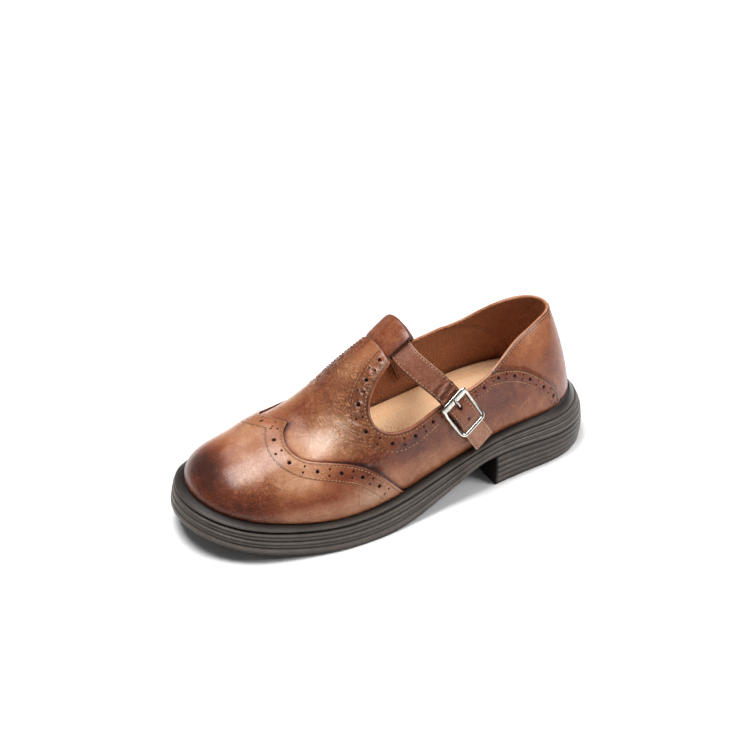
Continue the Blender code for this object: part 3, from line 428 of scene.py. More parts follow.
# %% Rubber, metal, thread and floor
def rubber_material(name, dark, mid, pale):
    """Rubber: mottled by clouds, pale on the lips of the layers, partly from rubbing and partly as painted
    highlights, with a fine moulded texture.
    """
    made, tree, shader = new_material(name)
    cloud = use(tree, CLOUDS, Size=0.012, Twist=0.4)
    speck = use(tree, CLOUDS, Size=0.0016, Twist=0.2)
    shade = plus(tree, 0.5, times(tree, cloud, 0.25))
    shade = plus(tree, shade, times(tree, speck, 0.18), clamp=True)
    rubbed_and_highlit = times(tree, attribute(tree, "wear_and_highlight"), plus(tree, shade, 0.25), clamp=True)
    colour = mixed(tree, shade, linear(dark), linear(mid))
    fill(tree, shader, {
        "Base Color": mixed(tree, times(tree, rubbed_and_highlit, 0.66), colour, linear(pale)),
        "Roughness": plus(tree, times(tree, speck, 0.06), 0.30),
        "Specular IOR Level": 0.2,
        "Normal": bumped(tree, use(tree, GRAIN, Pebble=0.0009, Fine=0.6), 0.25, 0.0003),
    })
    return made


def metal_material():
    """Polished nickel, a little uneven in colour and gloss, with a very fine grain."""
    made, tree, shader = new_material("nickel")
    cloud = use(tree, CLOUDS, Size=0.004, Twist=0.5)
    fill(tree, shader, {
        "Base Color": clouded(tree, cloud, "a19d96", "e2dfd8"),
        "Metallic": 1.0,
        "Roughness": plus(tree, times(tree, cloud, 0.03), 0.16),
        "Normal": bumped(tree, use(tree, GRAIN, Pebble=0.0005, Fine=0.5), 0.06, 0.0001),
    })
    return made


def mottled_material(name, dark, pale):
    """Thread, or leather too small to show its grain: two colours in a fine mottle."""
    made, tree, shader = new_material(name)
    cloud = use(tree, CLOUDS, Size=0.0008, Twist=0.2)
    rough = plus(tree, times(tree, cloud, 0.05), 0.55)
    fill(tree, shader, {"Base Color": clouded(tree, cloud, dark, pale), "Roughness": rough})
    return made


def floor_material():
    made, tree, shader = new_material("white_floor")
    cloud = use(tree, CLOUDS, Size=0.4, Twist=0.0)
    fill(tree, shader, {"Base Color": clouded(tree, cloud, "fafafa", "fefefe"), "Roughness": 0.9})
    return made


SOLE_RUBBER = rubber_material("sole_rubber", "090605", "1b1412", "9c8e84")
NICKEL = metal_material()
THREAD = mottled_material("waxed_thread", "7a4a30", "c08e68")
PALE_THREAD = mottled_material("pale_thread", "8c6045", "c49a78")
floor.data.materials.append(floor_material())
print(len(bpy.data.materials), "materials")

# %% [markdown]
# ## The last
#
# Shoemakers build every piece on a wooden foot, the last. Here it is a formula with two coordinates:
# `share` runs from the heel, 0, to the toe, 1, and `around` from the inner edge, -1, over the ridge,
# 0, to the outer edge, 1. Its sizes are the same named sizes as the solids have, so that the dressed
# shoe is the solid shoe, only finer.

# %% Sizes of the last
LAST_LENGTH = 0.2455
HEEL_HALF_WIDTH = 0.0330
OUTER_BALL_WIDTH = 0.0485
INNER_BALL_WIDTH = 0.0395
BACK_HEIGHT = 0.0550
INSTEP_HEIGHT = 0.0750
TOE_HEIGHT = 0.0360
BACK_LEAN = 0.0130
LEAN_SHARE = 0.30
LEAN_POWER = 1.35
HEEL_SEAT = 0.0320
BALL_SEAT = 0.0173
TOE_SPRING = 0.0117
SOLE_SPRING = 0.0140
ARCH_HEIGHT = 0.0203
HEEL_BACK_HEIGHT = 0.0170
HEEL_LENGTH = 0.0715
SOLE_REACH = 0.0080
TOE_REACH = 0.0016
WALL = 0.0022
UPPER_LIFT = 0.0002
BACK_PANEL_STEP = 0.0007
TOE_RECESS = 0.0009
CAP_THICKNESS = 0.0009
INSOLE_THICKNESS = 0.0025
CLEARANCE = 0.0003

# Half widths: (share, heel outer, ball outer, heel inner, ball inner)
WIDTHS = np.array((
    (0.00, 0.00, 0.00, 0.00, 0.00), (0.04, 0.69, 0.00, 0.68, 0.00), (0.10, 0.93, 0.00, 0.915, 0.00),
    (0.17, 1.00, 0.00, 0.995, 0.00), (0.25, 0.85, 0.14, 0.83, 0.14), (0.35, 0.50, 0.45, 0.45, 0.43),
    (0.45, 0.20, 0.72, 0.15, 0.71), (0.55, 0.05, 0.91, 0.00, 0.88), (0.62, 0.00, 0.99, 0.00, 0.93),
    (0.68, 0.00, 1.00, 0.00, 0.975), (0.74, 0.00, 0.975, 0.00, 0.99), (0.80, 0.00, 0.915, 0.00, 0.95),
    (0.86, 0.00, 0.83, 0.00, 0.92), (0.92, 0.00, 0.695, 0.00, 0.855), (0.97, 0.00, 0.465, 0.00, 0.61),
    (1.00, 0.00, 0.00, 0.00, 0.00),
))

# The ridge: (share, back height, instep height, toe height, inwards, side power, top power)
RIDGE = np.array((
    (0.00, 1.10, 0.00, 0.00, 0.000, 1.00, 0.90), (0.04, 1.10, 0.00, 0.00, 0.000, 1.00, 0.90),
    (0.10, 1.10, 0.00, 0.00, 0.000, 1.00, 0.90), (0.17, 0.95, 0.12, 0.00, 0.000, 1.00, 0.91),
    (0.25, 0.70, 0.36, 0.00, 0.000, 1.00, 0.92), (0.35, 0.30, 0.73, 0.00, 0.000, 0.95, 0.95),
    (0.45, 0.00, 1.00, 0.00, 0.022, 0.90, 0.97), (0.55, 0.00, 0.89, 0.00, 0.066, 0.865, 0.99),
    (0.62, 0.00, 0.735, 0.00, 0.101, 0.865, 0.99), (0.68, 0.00, 0.46, 0.28, 0.114, 0.865, 0.99),
    (0.74, 0.00, 0.18, 0.67, 0.126, 0.88, 0.99), (0.80, 0.00, 0.00, 1.00, 0.135, 0.97, 1.03),
    (0.86, 0.00, 0.00, 0.835, 0.135, 1.05, 1.06), (0.92, 0.00, 0.00, 0.63, 0.110, 1.10, 1.067),
    (0.97, 0.00, 0.00, 0.365, 0.065, 1.10, 1.067), (1.00, 0.00, 0.00, 0.00, 0.000, 1.10, 1.067),
))

# The edge on the sole: (share, heel seat, ball seat, toe spring)
SEAT = np.array((
    (-0.05, 1.03, 0.00, 0.00), (0.00, 1.02, 0.00, 0.00), (0.12, 1.00, 0.00, 0.00),
    (0.25, 0.965, 0.02, 0.00), (0.35, 0.80, 0.17, 0.00), (0.45, 0.50, 0.46, 0.00), (0.55, 0.20, 0.80, 0.00),
    (0.65, 0.02, 1.00, 0.00), (0.75, 0.00, 1.00, 0.07), (0.85, 0.00, 1.00, 0.30), (0.93, 0.00, 1.00, 0.62),
    (1.00, 0.00, 1.00, 1.00), (1.05, 0.00, 1.00, 1.25),
))

# The outsole's underside: (share, heel back height, arch height, sole spring)
UNDERSIDE = np.array((
    (-0.05, 1.00, 0.00, 0.00), (0.00, 1.00, 0.00, 0.00), (0.15, 0.50, 0.50, 0.00), (0.29, 0.00, 1.00, 0.00),
    (0.34, 0.00, 0.95, 0.00), (0.40, 0.00, 0.68, 0.00), (0.48, 0.00, 0.32, 0.00), (0.56, 0.00, 0.07, 0.00),
    (0.61, 0.00, 0.00, 0.00), (0.70, 0.00, 0.00, 0.00), (0.77, 0.00, 0.00, 0.10), (0.85, 0.00, 0.00, 0.31),
    (0.93, 0.00, 0.00, 0.62), (1.00, 0.00, 0.00, 1.00), (1.05, 0.00, 0.00, 1.25),
))


# %% [markdown]
# A few rows per table are enough, because a natural cubic spline runs through them. `turn` crowds the
# stations round the heel and the toe, where the outline curves most.


# %% Splines and the last's formula
def spline(knots, values):
    """A natural cubic spline: each piece is a cubic, and the bends agree where two pieces meet."""
    knots = np.asarray(knots, float)
    values = np.asarray(values, float)
    rows = values.reshape(len(knots), -1)
    steps = np.diff(knots)
    count = len(knots)
    matrix = np.eye(count)
    slope_change = np.zeros(rows.shape)
    for i in range(1, count - 1):
        matrix[i, i - 1 : i + 2] = steps[i - 1], 2 * (steps[i - 1] + steps[i]), steps[i]
        slope_change[i] = 6 * ((rows[i + 1] - rows[i]) / steps[i] - (rows[i] - rows[i - 1]) / steps[i - 1])
    bend = np.linalg.solve(matrix, slope_change)

    def at(place):
        place = np.clip(np.asarray(place, float), knots[0], knots[-1])
        i = np.clip(np.searchsorted(knots, place) - 1, 0, count - 2)
        step = steps[i][..., None]
        ahead = (knots[i + 1] - place)[..., None]
        behind = (place - knots[i])[..., None]
        curve = (bend[i] * ahead**3 + bend[i + 1] * behind**3) / (6 * step)
        curve += (rows[i] / step - bend[i] * step / 6) * ahead
        curve += (rows[i + 1] / step - bend[i + 1] * step / 6) * behind
        return curve.reshape(place.shape + values.shape[1:])

    return at


def unit(vectors):
    return vectors / np.linalg.norm(vectors, axis=-1, keepdims=True)


def by_length(points, scale=1.0):
    """Knots for a curve through points: the distance run so far, with each column scaled first."""
    runs = np.linalg.norm(np.diff(np.asarray(points) * scale, axis=0), axis=1)
    return np.concatenate([[0.0], np.cumsum(runs)])


def turn(share):
    """The angle whose shadow runs along the foot: arccos(1 - 2 share)."""
    return np.arccos(1 - 2 * np.clip(share, 0, 1))


def share_at(angle):
    return (1 - np.cos(angle)) / 2


outer_width = spline(turn(WIDTHS[:, 0]), WIDTHS[:, 1:3] @ [HEEL_HALF_WIDTH, OUTER_BALL_WIDTH])
inner_width = spline(turn(WIDTHS[:, 0]), WIDTHS[:, 3:5] @ [HEEL_HALF_WIDTH, INNER_BALL_WIDTH])
ridge_height = spline(turn(RIDGE[:, 0]), RIDGE[:, 1:4] @ [BACK_HEIGHT, INSTEP_HEIGHT, TOE_HEIGHT])
ridge_place = spline(turn(RIDGE[:, 0]), -RIDGE[:, 4] * INNER_BALL_WIDTH)
side_power = spline(turn(RIDGE[:, 0]), RIDGE[:, 5])
top_power = spline(turn(RIDGE[:, 0]), RIDGE[:, 6])
seat = spline(SEAT[:, 0], SEAT[:, 1:] @ [HEEL_SEAT, BALL_SEAT, TOE_SPRING])
underside_curve = spline(UNDERSIDE[:, 0], UNDERSIDE[:, 1:] @ [HEEL_BACK_HEIGHT, ARCH_HEIGHT, SOLE_SPRING])
STEP = 1e-4


def underside(share):
    return np.clip(underside_curve(share), 0, None)


def last(share, around):
    """Cross section: y = cos(climb)^side, z = sin(climb)^top, with climb = (1 - |around|) 90 degrees.

    The two are scaled by the widths and by the ridge's height, and at the heel the section leans
    forward by a power of its height.
    """
    angle = turn(share)
    climb = (1 - np.abs(around)) * math.pi / 2
    spread = np.clip(np.cos(climb), 0, 1) ** side_power(angle)
    rise = np.clip(np.sin(climb), 0, 1) ** top_power(angle)
    middle = ridge_place(angle)
    outer = middle + (outer_width(angle) - middle) * spread
    inner = middle - (inner_width(angle) + middle) * spread
    height = ridge_height(angle) * rise
    lean = BACK_LEAN * (height / BACK_HEIGHT) ** LEAN_POWER * np.clip(1 - share / LEAN_SHARE, 0, 1) ** 2
    beside_it = np.where(around >= 0, outer, inner)
    return np.stack([LAST_LENGTH * share + lean, beside_it, seat(share) + height], axis=-1)


def slopes(share, around):
    """How the last's point moves per unit of share and per unit of around."""
    share = np.clip(share, 2 * STEP, 1 - 2 * STEP)
    around = np.clip(around, 2 * STEP - 1, 1 - 2 * STEP)
    along = (last(share + STEP, around) - last(share - STEP, around)) / (2 * STEP)
    across = (last(share, around + STEP) - last(share, around - STEP)) / (2 * STEP)
    return along, across


def last_normal(share, around):
    return unit(np.cross(*slopes(share, around)))


def skin(share, around, lift=0.0):
    """The last's point moved out along its normal by `lift`; the two ends stay on the middle plane."""
    share, around, lift = np.broadcast_arrays(
        np.asarray(share, float), np.asarray(around, float), np.asarray(lift, float)
    )
    normal = last_normal(share, around)
    ends = (share <= 0) | (share >= 1)
    normal[ends, 1] = 0
    return last(share, around) + unit(normal) * lift[..., None]


def laid(line, lift=0.0):
    """(share, around) points put on the last."""
    return skin(line[:, 0], line[:, 1], lift)


def last_way_out(line):
    return last_normal(line[:, 0], line[:, 1])


print("last:", LAST_LENGTH / MM, "mm long, ball", (OUTER_BALL_WIDTH + INNER_BALL_WIDTH) / MM, "mm wide")

# %% [markdown]
# ## Turning arrays into objects
#
# Every piece ends as one array of points, one of faces, and a few numbers per point that its material
# reads: `tone`, `edge_far`, `pit` and so on. The last counts X from the heel, while the frame's origin
# is the middle of the shoe, so all points move by one offset before they become a mesh.


# %% Mesh helper
def sole_ring(out, first=0.0, final=1.0, count=400):
    """Both sides of the last's edge, pushed out sideways along the outline's normal by `out`."""
    angles = np.linspace(turn(first), turn(final), count)
    share = share_at(angles)

    def pushed(line, side):
        way = np.gradient(line, axis=0)
        normal = unit(np.stack([-way[:, 1], way[:, 0]], axis=-1) * side)
        if first <= 0:
            normal[0] = (-1, 0)
        if final >= 1:
            normal[-1] = (1, 0)
        reach = out(share) if callable(out) else np.full(count, float(out))
        if side < 0 and callable(out):
            reach = reach * np.interp(share, *np.transpose(INNER_REACH))
        return line + normal * reach[:, None]

    edge = pushed(np.stack([LAST_LENGTH * share, outer_width(angles)], axis=-1), 1)
    other = pushed(np.stack([LAST_LENGTH * share, -inner_width(angles)], axis=-1), -1)
    return edge, other, share


INNER_REACH = ((0.00, 1.00), (0.72, 1.00), (0.86, 0.90), (0.95, 0.74), (0.975, 0.86), (1.00, 1.00))
sole_box = np.array(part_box("outsole"))
TOE_TIP = sole_box[1][0] - 0.98 * (SOLE_REACH + TOE_REACH) - 0.02 * SOLE_REACH
offset = np.array([TOE_TIP - LAST_LENGTH, sole_box[1][1] - OUTER_BALL_WIDTH - SOLE_REACH, 0.0])


def piece(name, points, faces, material, values=None, smooth=True, outward=False):
    """An object from arrays. `values` maps attribute names to one number, or to one per point."""
    data = bpy.data.meshes.new(name)
    data.from_pydata((np.asarray(points) + offset).tolist(), [], np.asarray(faces).tolist())
    for label, numbers in (values or {}).items():
        numbers = np.full(len(data.vertices), numbers, np.float32)
        data.attributes.new(label, "FLOAT", "POINT").data.foreach_set("value", numbers)
    if outward:
        shape = bmesh.new()
        shape.from_mesh(data)
        bmesh.ops.recalc_face_normals(shape, faces=shape.faces)
        shape.to_mesh(data)
        shape.free()
    data.polygons.foreach_set("use_smooth", np.full(len(data.polygons), smooth))
    obj = bpy.data.objects.new(name, data)
    bpy.context.scene.collection.objects.link(obj)
    data.materials.append(material)
    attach(obj, "root")
    print(name, len(data.vertices), "points,", len(data.polygons), "faces")
    return obj


def whole(faces):
    """The triangles without those whose corners have run together."""
    a, b, c = faces.T
    return faces[(a != b) & (b != c) & (a != c)]


def quads(first, second):
    """Triangle pairs between two rows of point numbers."""
    a, b, c, d = first[:-1], first[1:], second[1:], second[:-1]
    return whole(np.vstack([np.column_stack([a, b, c]), np.column_stack([a, c, d])]))


print("offset of the last in the frame:", np.round(offset / MM, 2), "mm")

# %% [markdown]
# ## The sole
#
# The sole is a stack of moulded layers. Its side is a short table of corners, how far out and how far down,
# for the forefoot, the waist and the heel. Cutting each corner once (Chaikin's rule: keep a quarter and
# three quarters of every edge) rounds the lips of the layers. A number per row marks those lips as paler,
# partly from rubbing and partly as painted highlights.

# %% Sole tables
# (front out, front down, waist out, waist down, back out, back down, paleness of the lip: rubbing and
# painted highlight)
SIDE = np.array((
    (0.05, 0.00, 0.05, 0.00, 0.05, 0.00, 0.0), (0.66, 0.04, 0.52, 0.08, 0.34, 0.25, 0.5),
    (0.71, 0.11, 0.57, 0.18, 0.48, 0.37, 0.7), (0.53, 0.135, 0.46, 0.21, 0.42, 0.39, 0.0),
    (0.53, 0.20, 0.46, 0.27, 0.42, 0.42, 0.0), (0.79, 0.22, 0.68, 0.30, 0.66, 0.445, 0.9),
    (0.80, 0.31, 0.70, 0.38, 0.70, 0.50, 0.3), (0.73, 0.325, 0.65, 0.395, 0.65, 0.515, 0.0),
    (0.80, 0.34, 0.71, 0.41, 0.72, 0.53, 0.9), (0.82, 0.45, 0.72, 0.51, 0.76, 0.61, 0.3),
    (0.72, 0.475, 0.65, 0.54, 0.68, 0.635, 0.0), (0.90, 0.50, 0.82, 0.57, 0.86, 0.66, 1.0),
    (0.91, 0.59, 0.83, 0.645, 0.88, 0.72, 0.3), (0.85, 0.605, 0.78, 0.66, 0.84, 0.735, 0.0),
    (0.91, 0.62, 0.84, 0.675, 0.90, 0.75, 0.9), (0.92, 0.71, 0.85, 0.74, 0.92, 0.80, 0.3),
    (0.82, 0.735, 0.77, 0.77, 0.84, 0.825, 0.0), (0.98, 0.76, 0.93, 0.80, 0.98, 0.85, 1.0),
    (1.00, 0.96, 0.96, 0.96, 1.02, 0.97, 0.3), (0.95, 1.00, 0.92, 1.00, 0.97, 1.00, 0.1),
))
FRONT_SHARE = 0.55
WAIST_SHARE = 0.29

# The heel block's side: (out, down, paleness of the lip: rubbing and painted highlight)
HEEL_SIDE = np.array((
    (0.97, 0.00, 0.0), (1.03, 0.03, 0.7), (1.06, 0.17, 0.2), (0.97, 0.19, 0.0), (1.07, 0.22, 0.9),
    (1.09, 0.36, 0.2), (1.00, 0.38, 0.0), (1.09, 0.41, 0.9), (1.08, 0.55, 0.2), (0.99, 0.57, 0.0),
    (1.06, 0.60, 0.9), (1.03, 0.74, 0.2), (0.95, 0.76, 0.0), (1.01, 0.79, 0.9), (0.97, 0.96, 0.2),
    (0.92, 1.00, 0.1),
))


# %% Sole and heel
def cut_corners(rows, amount=0.25):
    """Chaikin's rule on the rows of a profile; the first and last rows stay."""
    near = rows[:-1] * (1 - amount) + rows[1:] * amount
    far = rows[:-1] * amount + rows[1:] * (1 - amount)
    middle = np.stack([near, far], axis=1).reshape(-1, rows.shape[1])
    return np.vstack([rows[:1], middle, rows[-1:]])


def ring_solid(rings, round_ends):
    """A solid from (outer side, inner side) lines that lie one under the other."""
    count = len(rings[0][0])
    rows = []
    points = []
    for outer, inner in rings:
        start = sum(len(part) for part in points)
        keep = inner[1:-1] if round_ends else inner[1:]
        points += [outer, keep]
        left = np.arange(start, start + count)
        ends = [left[-1]] if round_ends else []
        rows.append((left, np.array([left[0], *range(start + count, start + count + len(keep)), *ends])))
    faces = [quads(rows[0][0], rows[0][1]), quads(rows[-1][1], rows[-1][0])]
    for upper, lower in zip(rows, rows[1:]):
        faces += [quads(lower[0], upper[0]), quads(upper[1], lower[1])]
    if not round_ends:
        faces.append(quads(np.array([row[1][-1] for row in rows]), np.array([row[0][-1] for row in rows])))
    return np.vstack(points), np.vstack(faces)


def side_reach(row):
    """A function of share: how far out this row lies, wider towards the toe."""
    front_out, waist_out, back_out = row[0], row[2], row[4]

    def at(share):
        out = np.interp(share, (0, WAIST_SHARE, FRONT_SHARE, 1), (back_out, waist_out, front_out, front_out))
        toe = np.clip((share - FRONT_SHARE) / (1 - FRONT_SHARE), 0, 1) ** 2
        return out * SOLE_REACH + TOE_REACH * toe * front_out

    return at


sole_rows = cut_corners(SIDE)
rings = []
for row in sole_rows:
    outer, inner, share = sole_ring(side_reach(row))
    down = np.interp(share, (0, WAIST_SHARE, FRONT_SHARE, 1), (row[5], row[3], row[1], row[1]))
    top = seat(share) - CLEARANCE
    height = top + (underside(share) - top) * down
    rings.append((np.column_stack([outer, height]), np.column_stack([inner, height])))
points, faces = ring_solid(rings, True)
wear_and_highlight = np.repeat(sole_rows[:, 6] ** 1.6, len(points) // len(sole_rows))
outsole = piece("dressed_outsole", points, faces, SOLE_RUBBER, {"wear_and_highlight": wear_and_highlight}, outward=True)
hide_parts("outsole")

heel_rows = cut_corners(HEEL_SIDE)
rings = []
for out, down, row_wear_and_highlight in heel_rows:
    outer, inner, share = sole_ring(out * SOLE_REACH, 0.0, HEEL_LENGTH / LAST_LENGTH, 160)
    outer[-1, 0] = inner[-1, 0] = HEEL_LENGTH
    height = (underside(share) - CLEARANCE) * (1 - down)
    rings.append((np.column_stack([outer, height]), np.column_stack([inner, height])))
points, faces = ring_solid(rings, False)
breast = points[:, 0] > HEEL_LENGTH - 0.01 * MM
wear_and_highlight = np.repeat(heel_rows[:, 2] ** 1.6, len(points) // len(heel_rows)) * ~breast
heel = piece("dressed_heel", points, faces, SOLE_RUBBER, {"wear_and_highlight": wear_and_highlight}, outward=True)
facing = np.array([polygon.normal[0] for polygon in heel.data.polygons])
heel.data.polygons.foreach_set("use_smooth", facing < 0.95)
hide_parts("heel")

# %% [markdown]
# ## The sock
#
# What shows through the openings is the sock, the pale leather that the foot stands on. It dips a
# little in the middle and its edge is rounded.

# %% Sock
inset = UPPER_LIFT - max(TOE_RECESS, BACK_PANEL_STEP) - WALL - 2 * CLEARANCE
SOCK_TONE = 0.86
# (inset as a share of the thickness, height as a share of the thickness, width kept)
SOCK_ROWS = (
    (0.0, 0.0, 1.0), (0.0, 0.75, 1.0), (0.15, 0.95, 1.0), (0.5, 1.0, 1.0),
    (0.5, 0.97, 0.8), (0.5, 0.88, 0.4), (0.5, 0.85, 0.02),
)
rings = []
for pull, height, kept in SOCK_ROWS:
    outer, inner, share = sole_ring(inset - pull * INSOLE_THICKNESS)
    middle = (outer + inner) / 2
    level = seat(share) + height * INSOLE_THICKNESS
    rings.append(tuple(np.column_stack([middle + (line - middle) * kept, level]) for line in (outer, inner)))
points, faces = ring_solid(rings[::-1], True)
insole = piece("dressed_insole", points, faces, SOCK, {"tone": SOCK_TONE}, outward=True)
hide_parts("insole")

# %% [markdown]
# ## Patterns
#
# A leather panel is cut flat and then pulled over the last. The flat pattern here is the plane of
# (turn, around). It is filled with a fine grid of points, joined to its outline by a Delaunay
# triangulation, and only then laid on the last, so that panels of any outline get even, smooth faces.

# %% Pattern tables
OPENING = np.array((
    (0.000, 0.318, 0.318), (0.070, 0.328, 0.290), (0.130, 0.378, 0.360), (0.180, 0.447, 0.490),
    (0.230, 0.552, 0.590), (0.280, 0.633, 0.628), (0.340, 0.672, 0.655), (0.430, 0.683, 0.680),
    (0.500, 0.688, 0.690), (0.555, 0.637, 0.645), (0.588, 0.550, 0.560), (0.602, 0.430, 0.440),
    (0.593, 0.330, 0.340), (0.565, 0.258, 0.265), (0.521, 0.212, 0.218),
))
CAP_EDGE = np.array((
    (0.050, 0.752), (0.100, 0.769), (0.175, 0.782), (0.280, 0.788), (0.390, 0.774), (0.460, 0.737),
    (0.525, 0.703), (0.655, 0.653), (0.820, 0.605), (0.900, 0.583), (1.000, 0.552),
))
CAP_SHIFT = 0.10
QUARTER_EDGE = np.array((
    (0.070, 1.02), (0.078, 0.970), (0.090, 0.900), (0.123, 0.795), (0.168, 0.697), (0.207, 0.653),
    (0.246, 0.634), (0.300, 0.630),
))
PATTERN_SCALE = (0.5, 0.25)
STATIONS = 270
ROWS = 62
STEP_WIDTH = 0.0030


# %% Pattern helpers
def flat(share, around):
    return np.stack([turn(share) * PATTERN_SCALE[0], np.asarray(around) * PATTERN_SCALE[1]], axis=-1)


def unflat(points):
    return share_at(points[:, 0] / PATTERN_SCALE[0]), points[:, 1] / PATTERN_SCALE[1]


def smooth_line(rows, count):
    """A smooth line through (share, around) rows, evenly spaced on the shoe."""
    rows = np.asarray(rows, float)
    knots = by_length(rows, (LAST_LENGTH, INSTEP_HEIGHT))
    line = spline(knots, rows)(np.linspace(0, knots[-1], count))
    line[:, 0] = np.clip(line[:, 0], 0, 1)
    return line


def inside(points, outline):
    """Whether each point lies inside a closed outline: a ray from it crosses an odd number of edges."""
    x, y = points[:, None, 0], points[:, None, 1]
    start, end = outline[None], np.roll(outline, -1, axis=0)[None]
    straddles = (start[..., 1] > y) != (end[..., 1] > y)
    run = np.where(end[..., 1] == start[..., 1], 1.0, end[..., 1] - start[..., 1])
    crossing = start[..., 0] + (y - start[..., 1]) / run * (end[..., 0] - start[..., 0])
    return (straddles & (x < crossing)).sum(axis=1) % 2 == 1


def nearest(points, line, parts=16):
    """Distance from each point to a line of points, and how far along the line the nearest place is."""
    start, run = line[None, :-1], np.diff(line, axis=0)[None]
    length = np.linalg.norm(run[0], axis=1)
    begun = np.concatenate([[0.0], np.cumsum(length)[:-1]])
    far, along = [], []
    for chunk in np.array_split(points, parts):
        reach = chunk[:, None] - start
        share = np.clip((reach * run).sum(axis=-1) / np.maximum((run**2).sum(axis=-1), 1e-12), 0, 1)
        away = np.linalg.norm(reach - share[..., None] * run, axis=-1)
        best = away.argmin(axis=1)
        rows = np.arange(len(chunk))
        far.append(away[rows, best])
        along.append(begun[best] + share[rows, best] * length[best])
    return np.concatenate(far), np.concatenate(along)


def triangulated(outline, lines, spots, clear):
    """Triangles of a flat pattern, from its outline, inner lines, single points and a grid."""
    columns = np.linspace(0, math.pi, STATIONS) * PATTERN_SCALE[0]
    rows = np.linspace(-1, 1, 2 * ROWS + 1) * PATTERN_SCALE[1]
    grid = np.stack(np.meshgrid(columns, rows, indexing="ij"), axis=-1).reshape(-1, 2)
    grid = np.vstack([grid[inside(grid, outline)], spots])
    near = 0.42 * (columns[1] - columns[0])
    keep = nearest(grid, np.vstack([outline, outline[:1]]))[0] > near
    for line in lines:
        keep &= nearest(grid, line)[0] > near
    single = np.arange(len(grid)) >= len(grid) - len(spots)
    keep &= single | ~clear(grid)
    points = [outline, *lines, grid[keep]]
    count = len(outline)
    edges = [(i, (i + 1) % count) for i in range(count)]
    for line in lines:
        edges += [(count + i, count + i + 1) for i in range(len(line) - 1)]
        count += len(line)
    made = delaunay_2d_cdt([Vector(point) for point in np.vstack(points).tolist()], edges, [], 0, 1e-7)
    verts = np.array([tuple(point) for point in made[0]])
    faces = np.array([face for face in made[2] if len(face) == 3])
    corners = verts[faces]
    area = np.cross(corners[:, 1] - corners[:, 0], corners[:, 2] - corners[:, 0])
    faces = np.where(area[:, None] < 0, faces[:, ::-1], faces)
    return verts, faces[inside(corners.mean(axis=1), outline)]


def joined_ends(verts):
    """One number for points that are one on the last: the back seam's two sides, and the toe's tip."""
    share, around = unflat(verts)
    same = np.arange(len(verts))
    tips = np.flatnonzero(share >= 1 - 1e-9)
    if len(tips):
        same[tips] = tips[0]
    seam = np.flatnonzero(share <= 1e-9)
    left = seam[around[seam] < 0]
    if len(left):
        same[left] = seam[np.abs(around[seam][None] + around[left][:, None]).argmin(axis=1)]
    return same


# %% [markdown]
# A panel becomes a closed shell: an outer face, an inner face and a rounded edge between them. The
# edge is a half circle from one face to the other, turned outwards from the panel. On the sole's side
# it stays flat, because there the leather is pulled under.


# %% Leather shells
RIM_TURNS = 5


def leather(verts, faces, top, bottom, roundness):
    """(points, faces, number of the pattern point of each, 0 outside to 1 inside)."""
    faces = whole(joined_ends(verts)[faces])
    count = len(verts)
    sides = np.concatenate([faces[:, [0, 1]], faces[:, [1, 2]], faces[:, [2, 0]]])
    code = sides[:, 0] * count + sides[:, 1]
    rim = sides[~np.isin(code, sides[:, 1] * count + sides[:, 0])]
    share, around = unflat(verts)
    normal = last_normal(share, around)
    edge = top[rim[:, 1]] - top[rim[:, 0]]
    way = np.cross(edge, normal[rim[:, 0]])
    outwards = np.zeros((count, 3))
    np.add.at(outwards, rim[:, 0], way)
    np.add.at(outwards, rim[:, 1], way)
    used = np.unique(rim)
    length = np.linalg.norm(outwards[used], axis=1, keepdims=True)
    outwards[used] /= np.maximum(length, 1e-12)
    number = np.full(count, -1)
    number[used] = np.arange(len(used))
    half = (top[used] - bottom[used]) / 2
    middle = (top[used] + bottom[used]) / 2
    bulge = np.linalg.norm(half, axis=1, keepdims=True) * roundness[used][:, None]
    parts = [top, bottom]
    rings = [rim]
    for i in range(1, RIM_TURNS + 1):
        angle = math.pi * i / (RIM_TURNS + 1)
        parts.append(middle + half * math.cos(angle) + outwards[used] * bulge * math.sin(angle))
        rings.append(number[rim] + 2 * count + (i - 1) * len(used))
    rings.append(rim + count)
    solid = [faces, faces[:, ::-1] + count]
    for first, second in zip(rings, rings[1:]):
        solid.append(np.column_stack([first[:, 1], first[:, 0], second[:, 0]]))
        solid.append(np.column_stack([first[:, 1], second[:, 0], second[:, 1]]))
    solid = np.vstack(solid)
    points = np.vstack(parts)
    source = np.concatenate([np.arange(count), np.arange(count), np.tile(used, RIM_TURNS)])
    across_rim = np.repeat(np.linspace(0, 1, RIM_TURNS + 2)[1:-1], len(used))
    inner = np.concatenate([np.zeros(count), np.ones(count), across_rim])
    kept = np.unique(solid)
    renumber = np.full(len(points), -1)
    renumber[kept] = np.arange(len(kept))
    return points[kept], renumber[solid], source[kept], inner[kept]


# %% [markdown]
# ## Trim lines
#
# Perforations and stitches follow the panels' edges at fixed distances. A line is stepped sideways on
# the surface: the step, a vector in space, is split into its part along the foot and its part around
# it by solving two equations for each point.


# %% Trim lines
# (shares, width of the band as a share of its width at the throat)
BAND_NARROWS = ((0.42, 0.54), (0.66, 1.00))


def moved(line, step):
    """(share, around) points after a step in space that lies in the surface."""
    along, across = slopes(line[:, 0], line[:, 1])
    aa, ab, bb = (along**2).sum(-1), (along * across).sum(-1), (across**2).sum(-1)
    ra, rb = (along * step).sum(-1), (across * step).sum(-1)
    det = aa * bb - ab**2
    return line + np.column_stack([(ra * bb - rb * ab) / det, (rb * aa - ra * ab) / det])


def sideways(line, side):
    """The direction in the surface that points into the panel, for each point of its edge."""
    return unit(np.cross(np.gradient(laid(line), axis=0), last_way_out(line)) * side)


